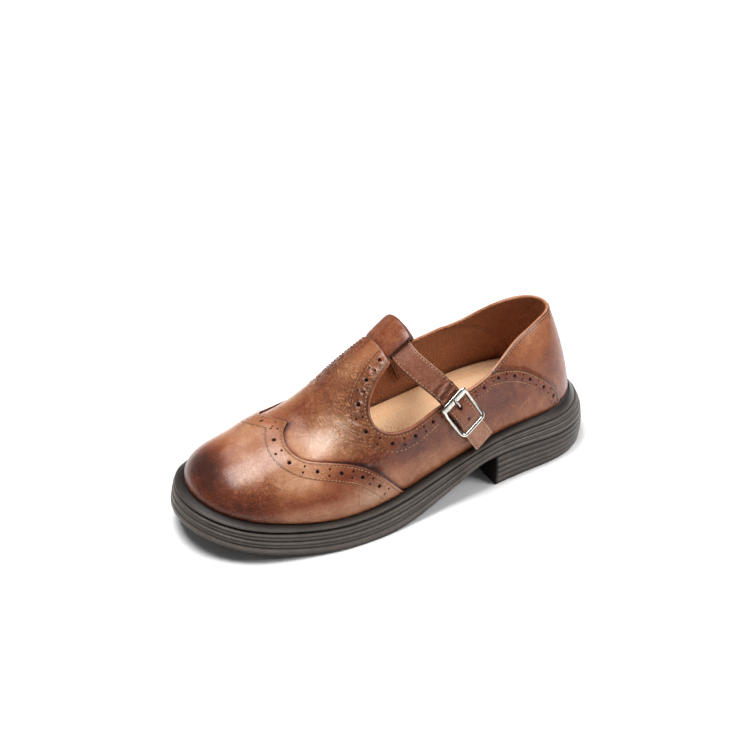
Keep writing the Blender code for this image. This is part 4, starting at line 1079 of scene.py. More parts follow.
def at_places(places, run, rows):
    """The rows' columns read off at places of their run."""
    return np.column_stack([np.interp(places, run, column) for column in rows.T])


def stations_along(line, spacing):
    """Points of the line every `spacing` metres."""
    run = by_length(laid(line))
    return at_places(np.arange(0.0, run[-1], spacing), run, line)


def band_scale(share):
    """The trim's band narrows from the throat to the quarter."""
    return np.interp(share, BAND_NARROWS[0], BAND_NARROWS[1])


def beside(line, spacing, reach, side, start=0.0):
    """Points at `reach` from the edge, every `spacing` along it, without those that fold over.

    The reach narrows with the band.
    """
    edge = laid(line)
    run = by_length(edge)
    places = np.arange(start, run[-1], spacing)
    at = at_places(places, run, line)
    way = at_places(places, run, sideways(line, side))
    reach = reach * band_scale(at[:, 0])
    made = moved(at, way * reach[:, None])
    kept = (made[:, 0] > 0.0) & (made[:, 0] < 0.995) & (np.abs(made[:, 1]) < 0.985)
    made, reach = made[kept], reach[kept]
    far = nearest(laid(made), edge, 1)[0]
    return made[far > 0.86 * reach]


def opening_line(column, count=260):
    line = smooth_line(OPENING[:, [0, column]], count)
    line[0, 0] = 0
    return line


def cap_line(count=120):
    half = smooth_line(CAP_EDGE[:, ::-1], count)
    stations = share_at(np.linspace(0, math.pi, STATIONS))
    half[-1] = stations[np.argmin(np.abs(stations - half[-1, 0]))], 1
    other = half[:0:-1].copy()
    other[:, 1] = CAP_SHIFT * (1 - other[:, 1]) ** 2 - other[:, 1]
    return np.vstack([other, half])


def quarter_line(count=90):
    return smooth_line(QUARTER_EDGE, count)


def trim_line(side):
    """The quarter's whole edge: down the T-bar, round the throat, along the top and over the arc."""
    opening = opening_line(1 if side > 0 else 2)[::-1]
    arc = quarter_line()[::-1]
    line = np.vstack([opening[opening[:, 0] > 0.292], arc[arc[:, 0] < 0.286]])
    return line * (1, side)


TRIMS = {side: trim_line(side) for side in (1, -1)}
COLLARS = {side: opening_line(1 if side > 0 else 2) * (1, side) for side in (1, -1)}
COLLARS = {side: line[line[:, 0] < 0.285] for side, line in COLLARS.items()}
print("trim:", round(by_length(laid(TRIMS[1]))[-1] / MM), "mm on the outer side")

# %% [markdown]
# ## Perforations
#
# The bands carry the punched pattern of a brogue: one large hole, then a pair of small ones across
# the band, and so on. Each hole is a real pit: rings of points are put into the pattern round it, and
# the inner ones are pushed into the leather.

# %% Perforations
BIG_HOLE = 1.15 * MM
SMALL_HOLE = 0.65 * MM
HOLE_ROW_MM = 5.4
PAIR_SPREAD_MM = 1.9
HOLE_SPACING_MM = 12.8
CAP_HOLE_SPACING_MM = 13.5
PIT_DEPTH = 0.75 * MM
HOLE_RINGS = (0.0, 0.5, 0.85, 1.15, 1.6)
RING_POINTS = 10


def punched(line, side, spacing):
    """Hole centres and radii along an edge."""
    row = HOLE_ROW_MM * MM
    spread = PAIR_SPREAD_MM * MM
    big = beside(line, spacing, row, side, 0.10 * spacing)
    pairs = [beside(line, spacing, row + sign * spread, side, 0.60 * spacing) for sign in (-1, 1)]
    centres = np.vstack([big, *pairs])
    radii = np.where(np.arange(len(centres)) < len(big), BIG_HOLE, SMALL_HOLE)
    return centres, radii * (0.7 + 0.3 * band_scale(centres[:, 0]))


def ring_spots(centres, radii):
    """Pattern points round each hole: its middle and four rings."""
    along = unit(slopes(centres[:, 0], centres[:, 1])[0])
    across = np.cross(last_way_out(centres), along)
    spots = []
    for reach in HOLE_RINGS:
        for angle in np.linspace(0, 2 * math.pi, RING_POINTS if reach else 1, endpoint=False):
            step = (along * math.cos(angle) + across * math.sin(angle)) * (radii * reach)[:, None]
            spots.append(moved(centres, step))
    return np.vstack(spots)


def pitted(points, centres, radii):
    """How deep each point lies in a hole, 0 to 1: full inside 0.87 of its radius."""
    depth = np.zeros(len(points))
    for place, radius in zip(laid(centres), radii):
        ratio = np.linalg.norm(points - place, axis=1) / radius
        depth = np.maximum(depth, np.clip((1.12 - ratio) / 0.25, 0, 1))
    return depth


def clear_of(centres, radii):
    """A test for grid points that lie too near a hole."""
    middle = laid(centres)

    def test(grid):
        points = skin(*unflat(grid))
        hit = np.zeros(len(grid), bool)
        for place, radius in zip(middle, radii):
            hit |= np.linalg.norm(points - place, axis=1) < radius * 1.9
        return hit

    return test


def pattern(outline, lines, centres, radii):
    """A punched panel: points, faces, (share, around), places on the last, and how deep in a hole."""
    spots = flat(*ring_spots(centres, radii).T)
    spots = spots[inside(spots, outline)]
    verts, faces = triangulated(outline, lines, spots, clear_of(centres, radii))
    share, around = unflat(verts)
    bare = skin(share, around)
    return verts, faces, share, around, bare, pitted(bare, centres, radii)


# %% [markdown]
# ## Tone and creases
#
# Worn, polished leather is darker where the polish was worked in, along the bands, the toe's front and the
# wing. The patches are paler on the crown of the toe and on the vamp, and those two are painted highlights.
# Each row below is one such patch: its place on the shoe, its reach along and across, and how much it
# darkens or lightens. The creases are listed too: each is a soft trough between two places.

# %% Tone tables
# (share, around, reach along in mm, reach across in mm, change)
# The patches at share 0.918, around 0.36 and at share 0.698, around 0.34 are painted highlights on the toe
# and the vamp.
TONE_AND_HIGHLIGHT_PATCHES = (
    (0.969, 0.10, 13, 24, -0.32), (0.962, 0.59, 14, 18, -0.30), (0.935, 0.00, 12, 18, -0.20),
    (0.918, 0.36, 12, 10, 0.16), (0.933, 0.54, 10, 9, 0.10), (0.906, 0.72, 20, 7, -0.28),
    (0.811, 0.79, 22, 5, -0.22), (0.732, 0.79, 16, 5, -0.14), (0.900, 0.93, 20, 5, -0.12),
    (0.790, 0.92, 20, 5, 0.08), (0.868, 0.02, 18, 20, 0.10), (0.800, 0.62, 16, 7, 0.12),
    (0.695, 0.65, 10, 6, -0.22), (0.625, 0.77, 8, 6, -0.16), (0.650, 0.86, 12, 7, 0.14),
    (0.610, 0.93, 12, 6, 0.16), (0.780, 0.43, 14, 8, 0.12), (0.698, 0.34, 20, 15, 0.26),
    (0.665, 0.29, 12, 12, 0.10), (0.700, 0.00, 18, 12, -0.16), (0.655, 0.02, 12, 12, -0.04),
    (0.590, 0.03, 22, 12, 0.06), (0.632, 0.66, 16, 8, -0.16), (0.505, 0.80, 20, 9, -0.21),
    (0.558, 0.80, 10, 8, -0.08), (0.473, 0.93, 30, 7, 0.16), (0.300, 0.94, 26, 7, 0.05),
    (0.263, 0.80, 24, 9, -0.13), (0.172, 0.93, 14, 10, 0.08), (0.149, 0.56, 22, 16, 0.12),
    (0.072, 0.43, 14, 12, 0.12), (0.072, 0.62, 9, 20, -0.10), (0.085, 0.85, 14, 12, 0.06),
)
BAND_DARK = -0.11
INNER_SIDE_TONE = -0.05

# (share, around, reach in mm, how wrinkled)
WRINKLE_PATCHES = (
    (0.600, 0.300, 20, 1.0), (0.630, 0.500, 16, 0.9), (0.625, 0.650, 14, 0.7), (0.640, 0.150, 18, 0.5),
    (0.700, 0.100, 24, 0.3), (0.930, 0.600, 20, 0.35), (0.890, 0.700, 18, 0.35), (0.640, 0.800, 16, 0.4),
    (0.480, 0.800, 22, 0.4), (0.240, 0.800, 20, 0.4), (0.600, -0.300, 20, 0.8), (0.630, -0.550, 18, 0.6),
)
PUCKER_MM = 0.55
FAN_MM = 0.30
FAN_SLANT = 0.75

# (share, around, reach in mm, how much)
FAN_PATCHES = (
    (0.645, 0.180, 19, 0.9), (0.600, 0.330, 14, 1.0), (0.625, 0.480, 13, 0.7), (0.630, 0.650, 10, 0.5),
    (0.630, -0.250, 17, 0.7),
)

# (share and around at one end, the same at the other, width in mm, depth in mm)
CREASES = (
    (0.690, 0.000, 0.640, 0.150, 1.5, 0.55), (0.672, -0.030, 0.622, 0.140, 1.4, 0.55),
    (0.700, 0.060, 0.652, 0.230, 1.6, 0.50), (0.655, -0.020, 0.610, 0.130, 1.3, 0.45),
    (0.655, 0.640, 0.630, 0.740, 1.6, 0.45), (0.640, 0.700, 0.600, 0.760, 1.8, 0.40),
    (0.655, -0.060, 0.630, -0.240, 1.8, 0.50), (0.665, -0.120, 0.636, -0.320, 1.8, 0.45),
)


# %% Tone and creases
def patch_tone_and_highlight(share, around, points):
    """The sum of all patches: each falls off as a bell over its reach along and across the foot."""
    tone = np.zeros(len(points))
    for place, turned_to, along, across, change in TONE_AND_HIGHLIGHT_PATCHES:
        for side in (1, -1):
            centre = skin(place, turned_to * side)
            ahead = (points[:, 0] - centre[0]) / (along * MM)
            beside_it = np.linalg.norm((points - centre)[:, 1:], axis=1) / (across * MM)
            bell = np.exp(-(ahead**2) - beside_it**2)
            tone += change * bell * (1.0 if side > 0 or abs(turned_to) < 0.15 else 0.8)
            if abs(turned_to) < 0.15:
                break
    return tone


def creased(points):
    """Total depth of the creases: a bell across each line, fading out to its two ends."""
    total = np.zeros(len(points))
    for share_a, around_a, share_b, around_b, width, depth in CREASES:
        places = np.linspace(0, 1, 12)
        line = skin(share_a + (share_b - share_a) * places, around_a + (around_b - around_a) * places)
        far, along = nearest(points, line, 8)
        ends = np.clip(4 * (along / along.max()) * (1 - along / along.max()), 0, 1) ** 0.5
        total += depth * MM * np.exp(-((far / (width * MM)) ** 2)) * ends
    return total


def strongest(points, patches, least, power):
    """The strongest of several bells, one round each place of a table; a higher power is flatter."""
    amount = np.full(len(points), least)
    for place, turned_to, reach, most in patches:
        away = np.linalg.norm(points - skin(place, turned_to), axis=1) / (reach * MM)
        amount = np.maximum(amount, most * np.exp(-(away**power)))
    return amount


def wrinkled(points):
    """How wrinkled the leather is, 0 to 1."""
    return strongest(points, WRINKLE_PATCHES, 0.10, 2)


def fanned(points):
    """Where the folds of the throat's corner run out over the vamp, 0 to 1."""
    return strongest(points, FAN_PATCHES, 0.0, 4)


def puckered(share, around, far, run, fan):
    """Puckers across the throat's band, and the fan of longer folds in front of its corner."""
    window = np.clip((share - 0.50) / 0.04, 0, 1) * np.clip((0.80 - np.abs(around)) / 0.15, 0, 1)
    window *= np.clip((far - 1.8) / 1.5, 0, 1) * np.clip((11.5 - far) / 3.0, 0, 1)
    run = run + FAN_SLANT * np.minimum(far, 40)
    phase = run * (2 * math.pi / 3.9) + 1.9 * np.sin(run / 4.3) + 0.9 * np.sin(run / 1.9 + far / 5)
    band = window * PUCKER_MM * (0.5 + 0.5 * np.sin(phase)) ** 1.5
    reach = np.clip((far - 9.0) / 3.0, 0, 1) * np.clip((34.0 - far) / 20.0, 0, 1)
    long = run * (2 * math.pi / 4.1) + 2.2 * np.sin(run / 3.3 + far / 14)
    return (band + fan * reach * FAN_MM * (0.5 + 0.5 * np.sin(long)) ** 2.0) * MM


def back_panel_share(verts):
    """1 on the back panel, 0 on the quarter, and between them over the width of the step."""
    one_side = np.stack([verts[:, 0], np.abs(verts[:, 1])], axis=-1)
    edge = quarter_line()
    line = flat(*edge.T)
    corner = np.array([(0.0, 1.02), (0.0, 0.0), (0.300, 0.0)])
    behind = inside(one_side, np.vstack([line, flat(*corner.T)[::-1]]))
    return np.where(behind, np.clip(nearest(one_side, line)[0] / STEP_WIDTH, 0, 1), 0)


# %% [markdown]
# ## The upper
#
# One shell from the toe to the heel. Its outline runs along the sole, up the back seam, round the
# collar and the throat to the end of the T-bar, and back. The quarter lies a leather's thickness above
# the back panel, and between its two rows of stitches the band swells a little.


# %% Upper
def feather(side):
    shares = share_at(np.linspace(0, math.pi, STATIONS))
    return np.stack([shares, np.full(len(shares), float(side))], axis=-1)


def upper_outline():
    outer, inner = opening_line(1), opening_line(2) * (1, -1)
    seam = np.linspace(1, outer[0, 1], ROWS)[1:-1]
    outer_seam = np.stack([np.zeros(len(seam)), seam], axis=-1)
    bar_end = np.linspace(inner[-1], outer[-1], 30)[1:-1]
    line = np.vstack([
        feather(1)[:-1], [(1.0, 1.0), (1.0, -1.0)], feather(-1)[::-1][1:],
        outer_seam * (1, -1), inner, bar_end, outer[::-1], outer_seam[::-1],
    ])
    return flat(*line.T)


def inner_lines(outline):
    """The quarter's edge twice on each side, a step's width apart."""
    line = flat(*quarter_line().T)
    way = np.gradient(line, axis=0)
    normal = unit(np.stack([-way[:, 1], way[:, 0]], axis=-1))
    closed = np.vstack([outline, outline[:1]])
    lines = []
    for drawn in (line, line + normal * STEP_WIDTH):
        for side in (1, -1):
            copy = drawn * (1, side)
            keep = inside(copy, outline) & (nearest(copy, closed)[0] > 0.003)
            lines.append(copy[keep])
    return lines


# %% Upper: its pattern
def recess(share):
    """How deep the upper lies under the cap."""
    return TOE_RECESS * np.clip((share - 0.78) / 0.08, 0, 1)


def hump(far, middle):
    """1 at `middle` mm from an edge, 0 beyond 5 mm from there."""
    return np.clip(1 - np.abs(far - middle) / 5.0, 0, 1)


def bell(far, middle, width):
    return np.exp(-(((far - middle) / width) ** 2))


def rim_roundness(share, around, most):
    """How round a cut edge is; on the sole's side it is flat."""
    return np.where((np.abs(around) > 0.999) | (share > 0.999), 0.0, most)


def outer_only(numbers):
    """A number for each point of the shell, 0 past the outer face."""
    return np.where(inner > 0.02, 0.0, numbers[source])


outline = upper_outline()
holes = [punched(TRIMS[side], side, HOLE_SPACING_MM * MM) for side in (1, -1)]
centres = np.vstack([part[0] for part in holes])
radii = np.concatenate([part[1] for part in holes])
verts, faces, share, around, bare, pit = pattern(outline, inner_lines(outline), centres, radii)
print(len(radii), "holes,", len(verts), "pattern points")

# %% Upper: distances from its edges, in mm
NO_EDGE_MM = 99.0
COLLAR_REACH_MM = 7.0
far, collar_far = np.full((2, len(verts)), NO_EDGE_MM)
run = np.zeros(len(verts))
for side in (1, -1):
    on_side = around * side >= 0
    reach, along = nearest(bare[on_side], laid(TRIMS[side]))
    far[on_side] = reach / MM
    run[on_side] = along / MM
    collar_far[on_side] = nearest(bare[on_side], laid(COLLARS[side]))[0] / MM
behind = back_panel_share(verts)
far = np.where(behind > 0.5, np.minimum(collar_far, COLLAR_REACH_MM), far / band_scale(share))
cap_far = nearest(bare, laid(cap_line()))[0] / MM
seam_far = nearest(bare, np.vstack([laid(quarter_line() * (1, side)) for side in (1, -1)]))[0] / MM

# %% Upper: its shell
BAND_PUFF = 0.25 * MM
band = (1 - np.clip(behind, 0, 1)) * hump(far, 5.8)
puff = BAND_PUFF * np.sin(np.clip(band, 0, 1) * math.pi / 2)
fan = fanned(bare)
pucker = puckered(share, around, far, run, fan)
base = UPPER_LIFT - BACK_PANEL_STEP * behind - recess(share)
top = skin(share, around, base + puff - creased(bare) - pucker - PIT_DEPTH * pit)
bottom = skin(share, around, UPPER_LIFT - WALL - BACK_PANEL_STEP * behind - recess(share))
points, solid, source, inner = leather(verts, faces, top, bottom, rim_roundness(share, around, 1.0))

# %% Upper: its tone
TONE_ALONG = ((0.0, 0.30, 0.50, 0.60, 1.0), (0.33, 0.36, 0.42, 0.52, 0.54))
PUCKER_HIGHLIGHT_PER_METRE = 130
tone = np.interp(share, *TONE_ALONG)
tone += patch_tone_and_highlight(share, around, bare) + BAND_DARK * band + INNER_SIDE_TONE * (around < 0)
# Painted shadow on the back panel at the foot of the quarter's step.
tone -= 0.26 * bell(seam_far, 0.7, 1.3) * (behind > 0.02)
# Painted shadow on the vamp beside the cap's raised edge, deeper on the outer side.
cap_shade = np.where(around < -0.05, 0.20, 0.60) * bell(cap_far, 0, 1.4) + 0.10 * bell(cap_far, 0, 3.0)
# The puckers and folds at the throat are painted paler, as highlights.
tone -= cap_shade - PUCKER_HIGHLIGHT_PER_METRE * pucker
lining_tone = 0.55 - 0.07 * (behind > 0.3) - 0.28 * bell(seam_far, 0, 0.8)
rim = (inner > 0.05) & (inner < 0.95)
rim_tone = np.where(share < 0.40, 0.60, 0.40)
print("tone from", round(tone.min(), 2), "to", round(tone.max(), 2))
values = {
    "tone": np.where(rim, rim_tone[source], np.where(inner > 0.5, lining_tone[source], tone[source])),
    "wrinkle": outer_only(wrinkled(bare)),
    "fan": outer_only(fan),
    "edge_run": (run + FAN_SLANT * np.minimum(far, 40))[source],
    "edge_far": np.where(inner > 0.05, 50.0, far[source]),
    "pit": outer_only(pit),
}
upper = piece("dressed_upper", points, solid, UPPER_LEATHER, values)
upper.data.materials.append(LINING)
lined = (inner[solid].mean(axis=1) > 0.72).astype(np.int32)
upper.data.polygons.foreach_set("material_index", lined)
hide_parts("upper")

# %% [markdown]
# ## The wing cap
#
# The cap is a second skin over the toe, cut to a wing's outline with a point on the ridge. It lies a
# hair's breadth above the vamp, and its cut edge shows its thickness.

# %% Wing cap
edge = cap_line()
tip = feather(1)
tip = tip[tip[:, 0] > edge[-1, 0] + 1e-9]
line = np.vstack([edge, tip[:-1], [(1.0, 1.0), (1.0, -1.0)], tip[::-1][1:] * (1, -1)])
cap_holes = punched(edge, 1, CAP_HOLE_SPACING_MM * MM)
verts, faces, share, around, bare, pit = pattern(flat(*line.T), [], *cap_holes)
far = nearest(bare, laid(edge))[0] / MM
base = UPPER_LIFT - recess(share) + CLEARANCE
soft_edge = 0.12 * MM * np.clip(1 - far / 0.8, 0, 1) ** 2
lift = base + CAP_THICKNESS + 0.15 * MM * hump(far, 5.5) - soft_edge
top = skin(share, around, lift - 0.8 * CAP_THICKNESS * pit)
bottom = skin(share, around, base)
points, solid, source, inner = leather(verts, faces, top, bottom, rim_roundness(share, around, 0.5))
tone = 0.54 + patch_tone_and_highlight(share, around, bare) + 0.3 * BAND_DARK * hump(far, 5.5)
# The cap's cut edge and its underside are dark with edge paint, and on the outer side painted darker still,
# as shade.
values = {
    "tone": np.where(inner > 0.1, np.where(around < -0.05, 0.22, 0.03)[source], tone[source]),
    "wrinkle": outer_only(wrinkled(bare)),
    "edge_far": far[source],
    "pit": outer_only(pit),
}
toe_cap = piece("dressed_toe_cap", points, solid, CAP_LEATHER, values)
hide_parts("toe_cap")

# %% [markdown]
# ## The strap
#
# The strap starts inside the inner quarter, passes through the folded end of the T-bar, and runs down
# to the buckle: under the frame's thick bar, over its centre bar and under the far bar. It is a flat
# section carried along that route, turned so that it always lies on what carries it.

# %% Strap sizes
STRAP_WIDTH = 0.0140
STRAP_THICKNESS = 0.0018
LOOP_WALL = 0.0016
LOOP_WIDTH = 0.0280
LOOP_LIFT = -0.0008
LOOP_TILT = 0.23
SLOT_PLAY = 0.0008
SLOT_SIDE_PLAY = 0.0011
FRAME_LENGTH = 0.0233
FRAME_WIDTH = 0.0176
WIRE_RADIUS = 0.0010
THICK_BAR_RADIUS = 0.0015
CENTRE_BAR_RADIUS = 0.0007
PRONG_RADIUS = 0.0006
BAR_HEIGHT = 0.0027
HOLE_WIDTH = 0.0024
HOLE_LENGTH = 0.0044
SPARE_HOLE = 0.0022
HOLE_PLACE = -0.48
SPARE_HOLE_PLACE = 0.42
BUCKLE_SHARE = 0.380
BUCKLE_AROUND = 0.753
STRAP_TURN = (-0.102, 0.420)
AROUND_RUN = 0.074

# (share from the loop's middle, around, lift from the loop's middle, tilt as a share of the loop's)
STRAP_ROUTE = np.array((
    (-0.110, -0.86, -0.0036, 0.0), (-0.090, -0.74, -0.0036, 0.0), (-0.070, -0.62, -0.0038, 0.0),
    (-0.033, -0.42, -0.0037, 0.5), (-0.005, -0.29, -0.0014, 1.0), (0.000, -0.21, 0.0000, 1.0),
    (0.000, -0.10, 0.0000, 1.0), (0.000, 0.00, 0.0000, 1.0), (0.000, 0.10, 0.0000, 1.0),
    (0.000, 0.21, 0.0000, 1.0), (-0.004, 0.285, 0.0012, 1.1), (-0.021, 0.41, 0.0032, 1.1),
))
# (along as a share of half the frame, lift as a share of the strap's height over the centre bar)
STRAP_AT_BUCKLE = (
    (-1.25, 0.46), (-1.00, 0.50), (-0.50, 0.83), (0.00, 1.00),
    (0.50, 0.80), (1.00, 0.44), (1.60, 0.42), (2.30, 0.42),
)


# %% Strap route
def buckle_frame_axes():
    """The buckle's middle on the last, the strap's way, the width's way and the way out."""
    place = skin(BUCKLE_SHARE, BUCKLE_AROUND)
    out = last_normal(np.array(BUCKLE_SHARE), np.array(BUCKLE_AROUND))
    ahead = skin(BUCKLE_SHARE + STRAP_TURN[0] * 0.1, BUCKLE_AROUND + STRAP_TURN[1] * 0.1)
    along = ahead - place
    along = unit(along - out * (along @ out))
    return place, along, np.cross(out, along), out


STRAP_HEIGHT = BAR_HEIGHT + CENTRE_BAR_RADIUS + 2 * CLEARANCE + 2 * PRONG_RADIUS + STRAP_THICKNESS / 2


def ridge_run(share):
    ends = last(np.array([share - STEP, share + STEP]), np.zeros(2))
    return np.linalg.norm(ends[1] - ends[0]) / (2 * STEP)


SLOT_SIZE = (STRAP_WIDTH + 2 * SLOT_SIDE_PLAY, STRAP_THICKNESS + 2 * SLOT_PLAY)
BAR_END = OPENING[-1, 0]
LOOP_SHARE = BAR_END - (SLOT_SIZE[0] / 2 + LOOP_WALL + 3 * CLEARANCE) / ridge_run(BAR_END)


def tilted(share, around, tilt):
    """The way towards the heel and the way out, turned so that the heel side rises."""
    normal = last_normal(np.array(share), np.array(around))
    heelward = skin(share - STEP, around) - skin(share + STEP, around)
    heelward = unit(heelward - normal * (heelward @ normal))
    return (
        heelward * math.cos(tilt) + normal * math.sin(tilt),
        normal * math.cos(tilt) - heelward * math.sin(tilt),
    )


def strap_line(count):
    """Middle points of the strap, its width's way, its way out, and the length run so far."""
    place, along, across, out = buckle_frame_axes()
    points, ways = [], []
    for share, around, lift, tilt in STRAP_ROUTE + (LOOP_SHARE, 0, LOOP_LIFT, 0):
        points.append(skin(share, around, lift))
        ways.append(tilted(share, around, tilt * LOOP_TILT)[1])
    for run, lift in STRAP_AT_BUCKLE:
        points.append(place + along * run * FRAME_LENGTH / 2 + out * lift * STRAP_HEIGHT)
        ways.append(out)
    points = np.array(points)
    knots = by_length(points)
    steps = np.linspace(0, knots[-1], count)
    centre = spline(knots, points)(steps)
    forward = unit(np.gradient(centre, axis=0))
    side = unit(np.cross(spline(knots, np.array(ways))(steps), forward))
    return centre, side, np.cross(forward, side), steps


def swept(centre, side, outward, sections, closed=False):
    """Sections (n, m, 2) carried along a line of n points; the ends are capped with fans."""
    count, size = sections.shape[:2]
    points = centre[:, None] + side[:, None] * sections[..., :1] + outward[:, None] * sections[..., 1:]
    numbers = np.arange(count * size).reshape(count, size)
    rings = np.column_stack([numbers, numbers[:, :1]])
    if closed:
        rings = np.vstack([rings, rings[:1]])
    faces = [quads(first, second) for first, second in zip(rings, rings[1:])]
    points = points.reshape(-1, 3)
    if not closed:
        middles = np.stack([points[numbers[i]].mean(axis=0) for i in (0, -1)])
        for i, tip in ((0, len(points)), (-1, len(points) + 1)):
            ring = rings[i] if i else rings[i][::-1]
            faces.append(np.column_stack([ring[:-1], ring[1:], np.full(size, tip)]))
        points = np.vstack([points, middles])
    return points, np.vstack(faces)


def rounded_strip(width, thick, rounding, flat_points=14, turn_points=6):
    """A strip's section: two flat faces and two rounded edges, as (across, out) pairs."""
    half, rise = width / 2, thick / 2
    flats = np.linspace(-1, 1, flat_points)
    angles = np.linspace(-math.pi / 2, math.pi / 2, turn_points + 2)[1:-1]
    edge = np.column_stack([half - rounding + rounding * np.cos(angles), rise * np.sin(angles)])
    under = np.column_stack([flats * (half - rounding), np.full(flat_points, -rise)])
    over = np.column_stack([flats[::-1] * (half - rounding), np.full(flat_points, rise)])
    return np.vstack([under, edge, over, -edge])


# %% Strap
STRAP_STATIONS = 300
STRAP_ROUNDING = 0.7 * MM
STRAP_PIT_DEPTH = 0.9 * MM
FOLD_MM = 0.30
centre, side, outward, steps = strap_line(STRAP_STATIONS)
section = rounded_strip(STRAP_WIDTH, STRAP_THICKNESS, STRAP_ROUNDING, 25)
points, faces = swept(centre, side, outward, np.repeat(section[None], STRAP_STATIONS, axis=0))
place, along, across, out = buckle_frame_axes()
local = (points - place) @ np.column_stack([along, across, out])
across_mm = np.concatenate([np.tile(section[:, 0], STRAP_STATIONS), [0, 0]]) / MM
out_side = np.concatenate([np.tile(section[:, 1], STRAP_STATIONS), [0, 0]]) > 0.45 * STRAP_THICKNESS
way_out = np.concatenate([np.repeat(outward, len(section), axis=0), outward[[0, -1]]])
pit = np.zeros(len(points))
STRAP_HOLES = ((HOLE_PLACE, HOLE_LENGTH, HOLE_WIDTH), (SPARE_HOLE_PLACE, SPARE_HOLE, SPARE_HOLE))
for hole_place, length, width in STRAP_HOLES:
    ratio = np.hypot((local[:, 0] - hole_place * FRAME_LENGTH / 2) / (length / 2), local[:, 1] / (width / 2))
    pit = np.maximum(pit, np.clip((1.1 - ratio) / 0.25, 0, 1) * out_side * (np.abs(local[:, 2]) < 0.012))

# %% [markdown]
# Two or three folds cross the strap where it bends into the buckle; their crests are painted paler, as
# highlights, and their hollows darker, as shade. Its cut edges are paler than its face, but for the one that
# lies in the shade, and so is its free end past the buckle.

# %% Strap: folds and tone
on_outer_side = np.abs(local[:, 2]) < 0.02
before = (local[:, 0] + FRAME_LENGTH / 2) / MM
near_buckle = bell(before, -8, 7.0) * on_outer_side
folds = np.sin(before * 1.15 + across_mm * 0.22) + 0.5 * np.sin(before * 2.3 - across_mm * 0.45 + 1.0)
fold_height = FOLD_MM * near_buckle * folds * MM * out_side * (np.abs(local[:, 1]) < 0.009)
points = points + way_out * (fold_height - STRAP_PIT_DEPTH * pit)[:, None]
edge_far = STRAP_WIDTH / MM / 2 - np.abs(across_mm)
cut_edge = edge_far < 0.45
shaded_edge = cut_edge * (across_mm < 0) * (local[:, 0] < 0.6 * FRAME_LENGTH)
free_end = (local[:, 0] > 0.3 * FRAME_LENGTH) * on_outer_side
tone = 0.41 + 0.22 * cut_edge - 0.50 * shaded_edge + 0.25 * free_end
# Painted highlights on the folds' crests and painted shade in their hollows, near the buckle.
tone += (0.20 * folds - 0.05) * near_buckle
values = {"tone": tone, "edge_far": edge_far, "pit": pit, "wrinkle": 0.25 + 0.5 * near_buckle}
strap = piece("dressed_strap", points, faces, STRAP_LEATHER, values)
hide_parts("strap")
strap_size = [round(size / MM, 1) for size in (steps[-1], STRAP_WIDTH, STRAP_THICKNESS)]
print("strap:", strap_size[0], "mm long,", strap_size[1], "mm wide,", strap_size[2], "mm thick")

# %% [markdown]
# ## The strap's loop
#
# The T-bar's end is folded back over the strap and sewn down, which leaves a flat tube. Its section is
# a squared-off oval; the slot inside it clears the strap by the same play as in the solids.


# %% Loop
def oval(length, thick, count, power=0.55):
    """A closed oval with flattened sides: signed powers of the cosine and the sine."""
    angles = np.linspace(0, 2 * math.pi, count, endpoint=False)
    along = np.sign(np.cos(angles)) * np.abs(np.cos(angles)) ** power * length / 2
    lift = np.sign(np.sin(angles)) * np.abs(np.sin(angles)) ** power * thick / 2
    return np.stack([along, lift], axis=-1)


LOOP_STATIONS = 90
LOOP_POINTS = 72
walls = (SLOT_SIZE[0] + 2 * LOOP_WALL, SLOT_SIZE[1] + 2 * LOOP_WALL)
places = np.linspace(-0.5, 0.5, LOOP_STATIONS) * LOOP_WIDTH
points = []
for across_place in places:
    turned_to = across_place / AROUND_RUN
    middle = skin(LOOP_SHARE, turned_to, LOOP_LIFT)
    axes = np.array(tilted(LOOP_SHARE, turned_to, LOOP_TILT))
    edge_round = 0.35 * MM * (np.abs(across_place) / (LOOP_WIDTH / 2)) ** 30
    length, thick = walls[0] - 2 * edge_round, walls[1] - 2 * edge_round
    points.append(middle + oval(length, thick, LOOP_POINTS, 0.42) @ axes)
    points.append(middle + oval(*SLOT_SIZE, LOOP_POINTS, 0.50) @ axes)
numbers = np.arange(2 * LOOP_STATIONS * LOOP_POINTS).reshape(LOOP_STATIONS, 2, LOOP_POINTS)
numbers = np.concatenate([numbers, numbers[..., :1]], axis=-1)
faces = []
for i in range(LOOP_STATIONS - 1):
    faces += [quads(numbers[i, 0], numbers[i + 1, 0]), quads(numbers[i + 1, 1], numbers[i, 1])]
faces += [quads(numbers[0, 1], numbers[0, 0]), quads(numbers[-1, 0], numbers[-1, 1])]
points = np.vstack(points)
angle = np.tile(np.linspace(0, 2 * math.pi, LOOP_POINTS, endpoint=False), 2 * LOOP_STATIONS)
end = np.repeat(np.abs(places) / (LOOP_WIDTH / 2), 2 * LOOP_POINTS)
# The loop is painted darker on the curved folds of its section, where they turn away from the lamps above,
# as painted shade; it also darkens towards its two ends, with a dark band at each open end.
tone = 0.38 - 0.20 * np.clip((end - 0.75) / 0.25, 0, 1) - 0.22 * np.abs(np.cos(angle)) ** 4
tone -= 0.45 * (end > 0.965)
values = {"tone": tone, "edge_far": 50.0, "pit": 0.0, "wrinkle": 0.3}
loop = piece("dressed_strap_loop", points, np.vstack(faces), LOOP_LEATHER, values, outward=True)
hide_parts("strap_loop")

# %% [markdown]
# ## The buckle
#
# The frame is a rounded rectangle of nickel wire with a wider bar at the top. It bows down in the
# middle, where the centre bar crosses it. The prong curls round that bar, comes up through the hole
# and rests on the wide bar.


# %% Buckle
def circle(turns):
    angles = np.linspace(0, 2 * math.pi, turns, endpoint=False)
    return np.stack([np.cos(angles), np.sin(angles)], axis=-1)


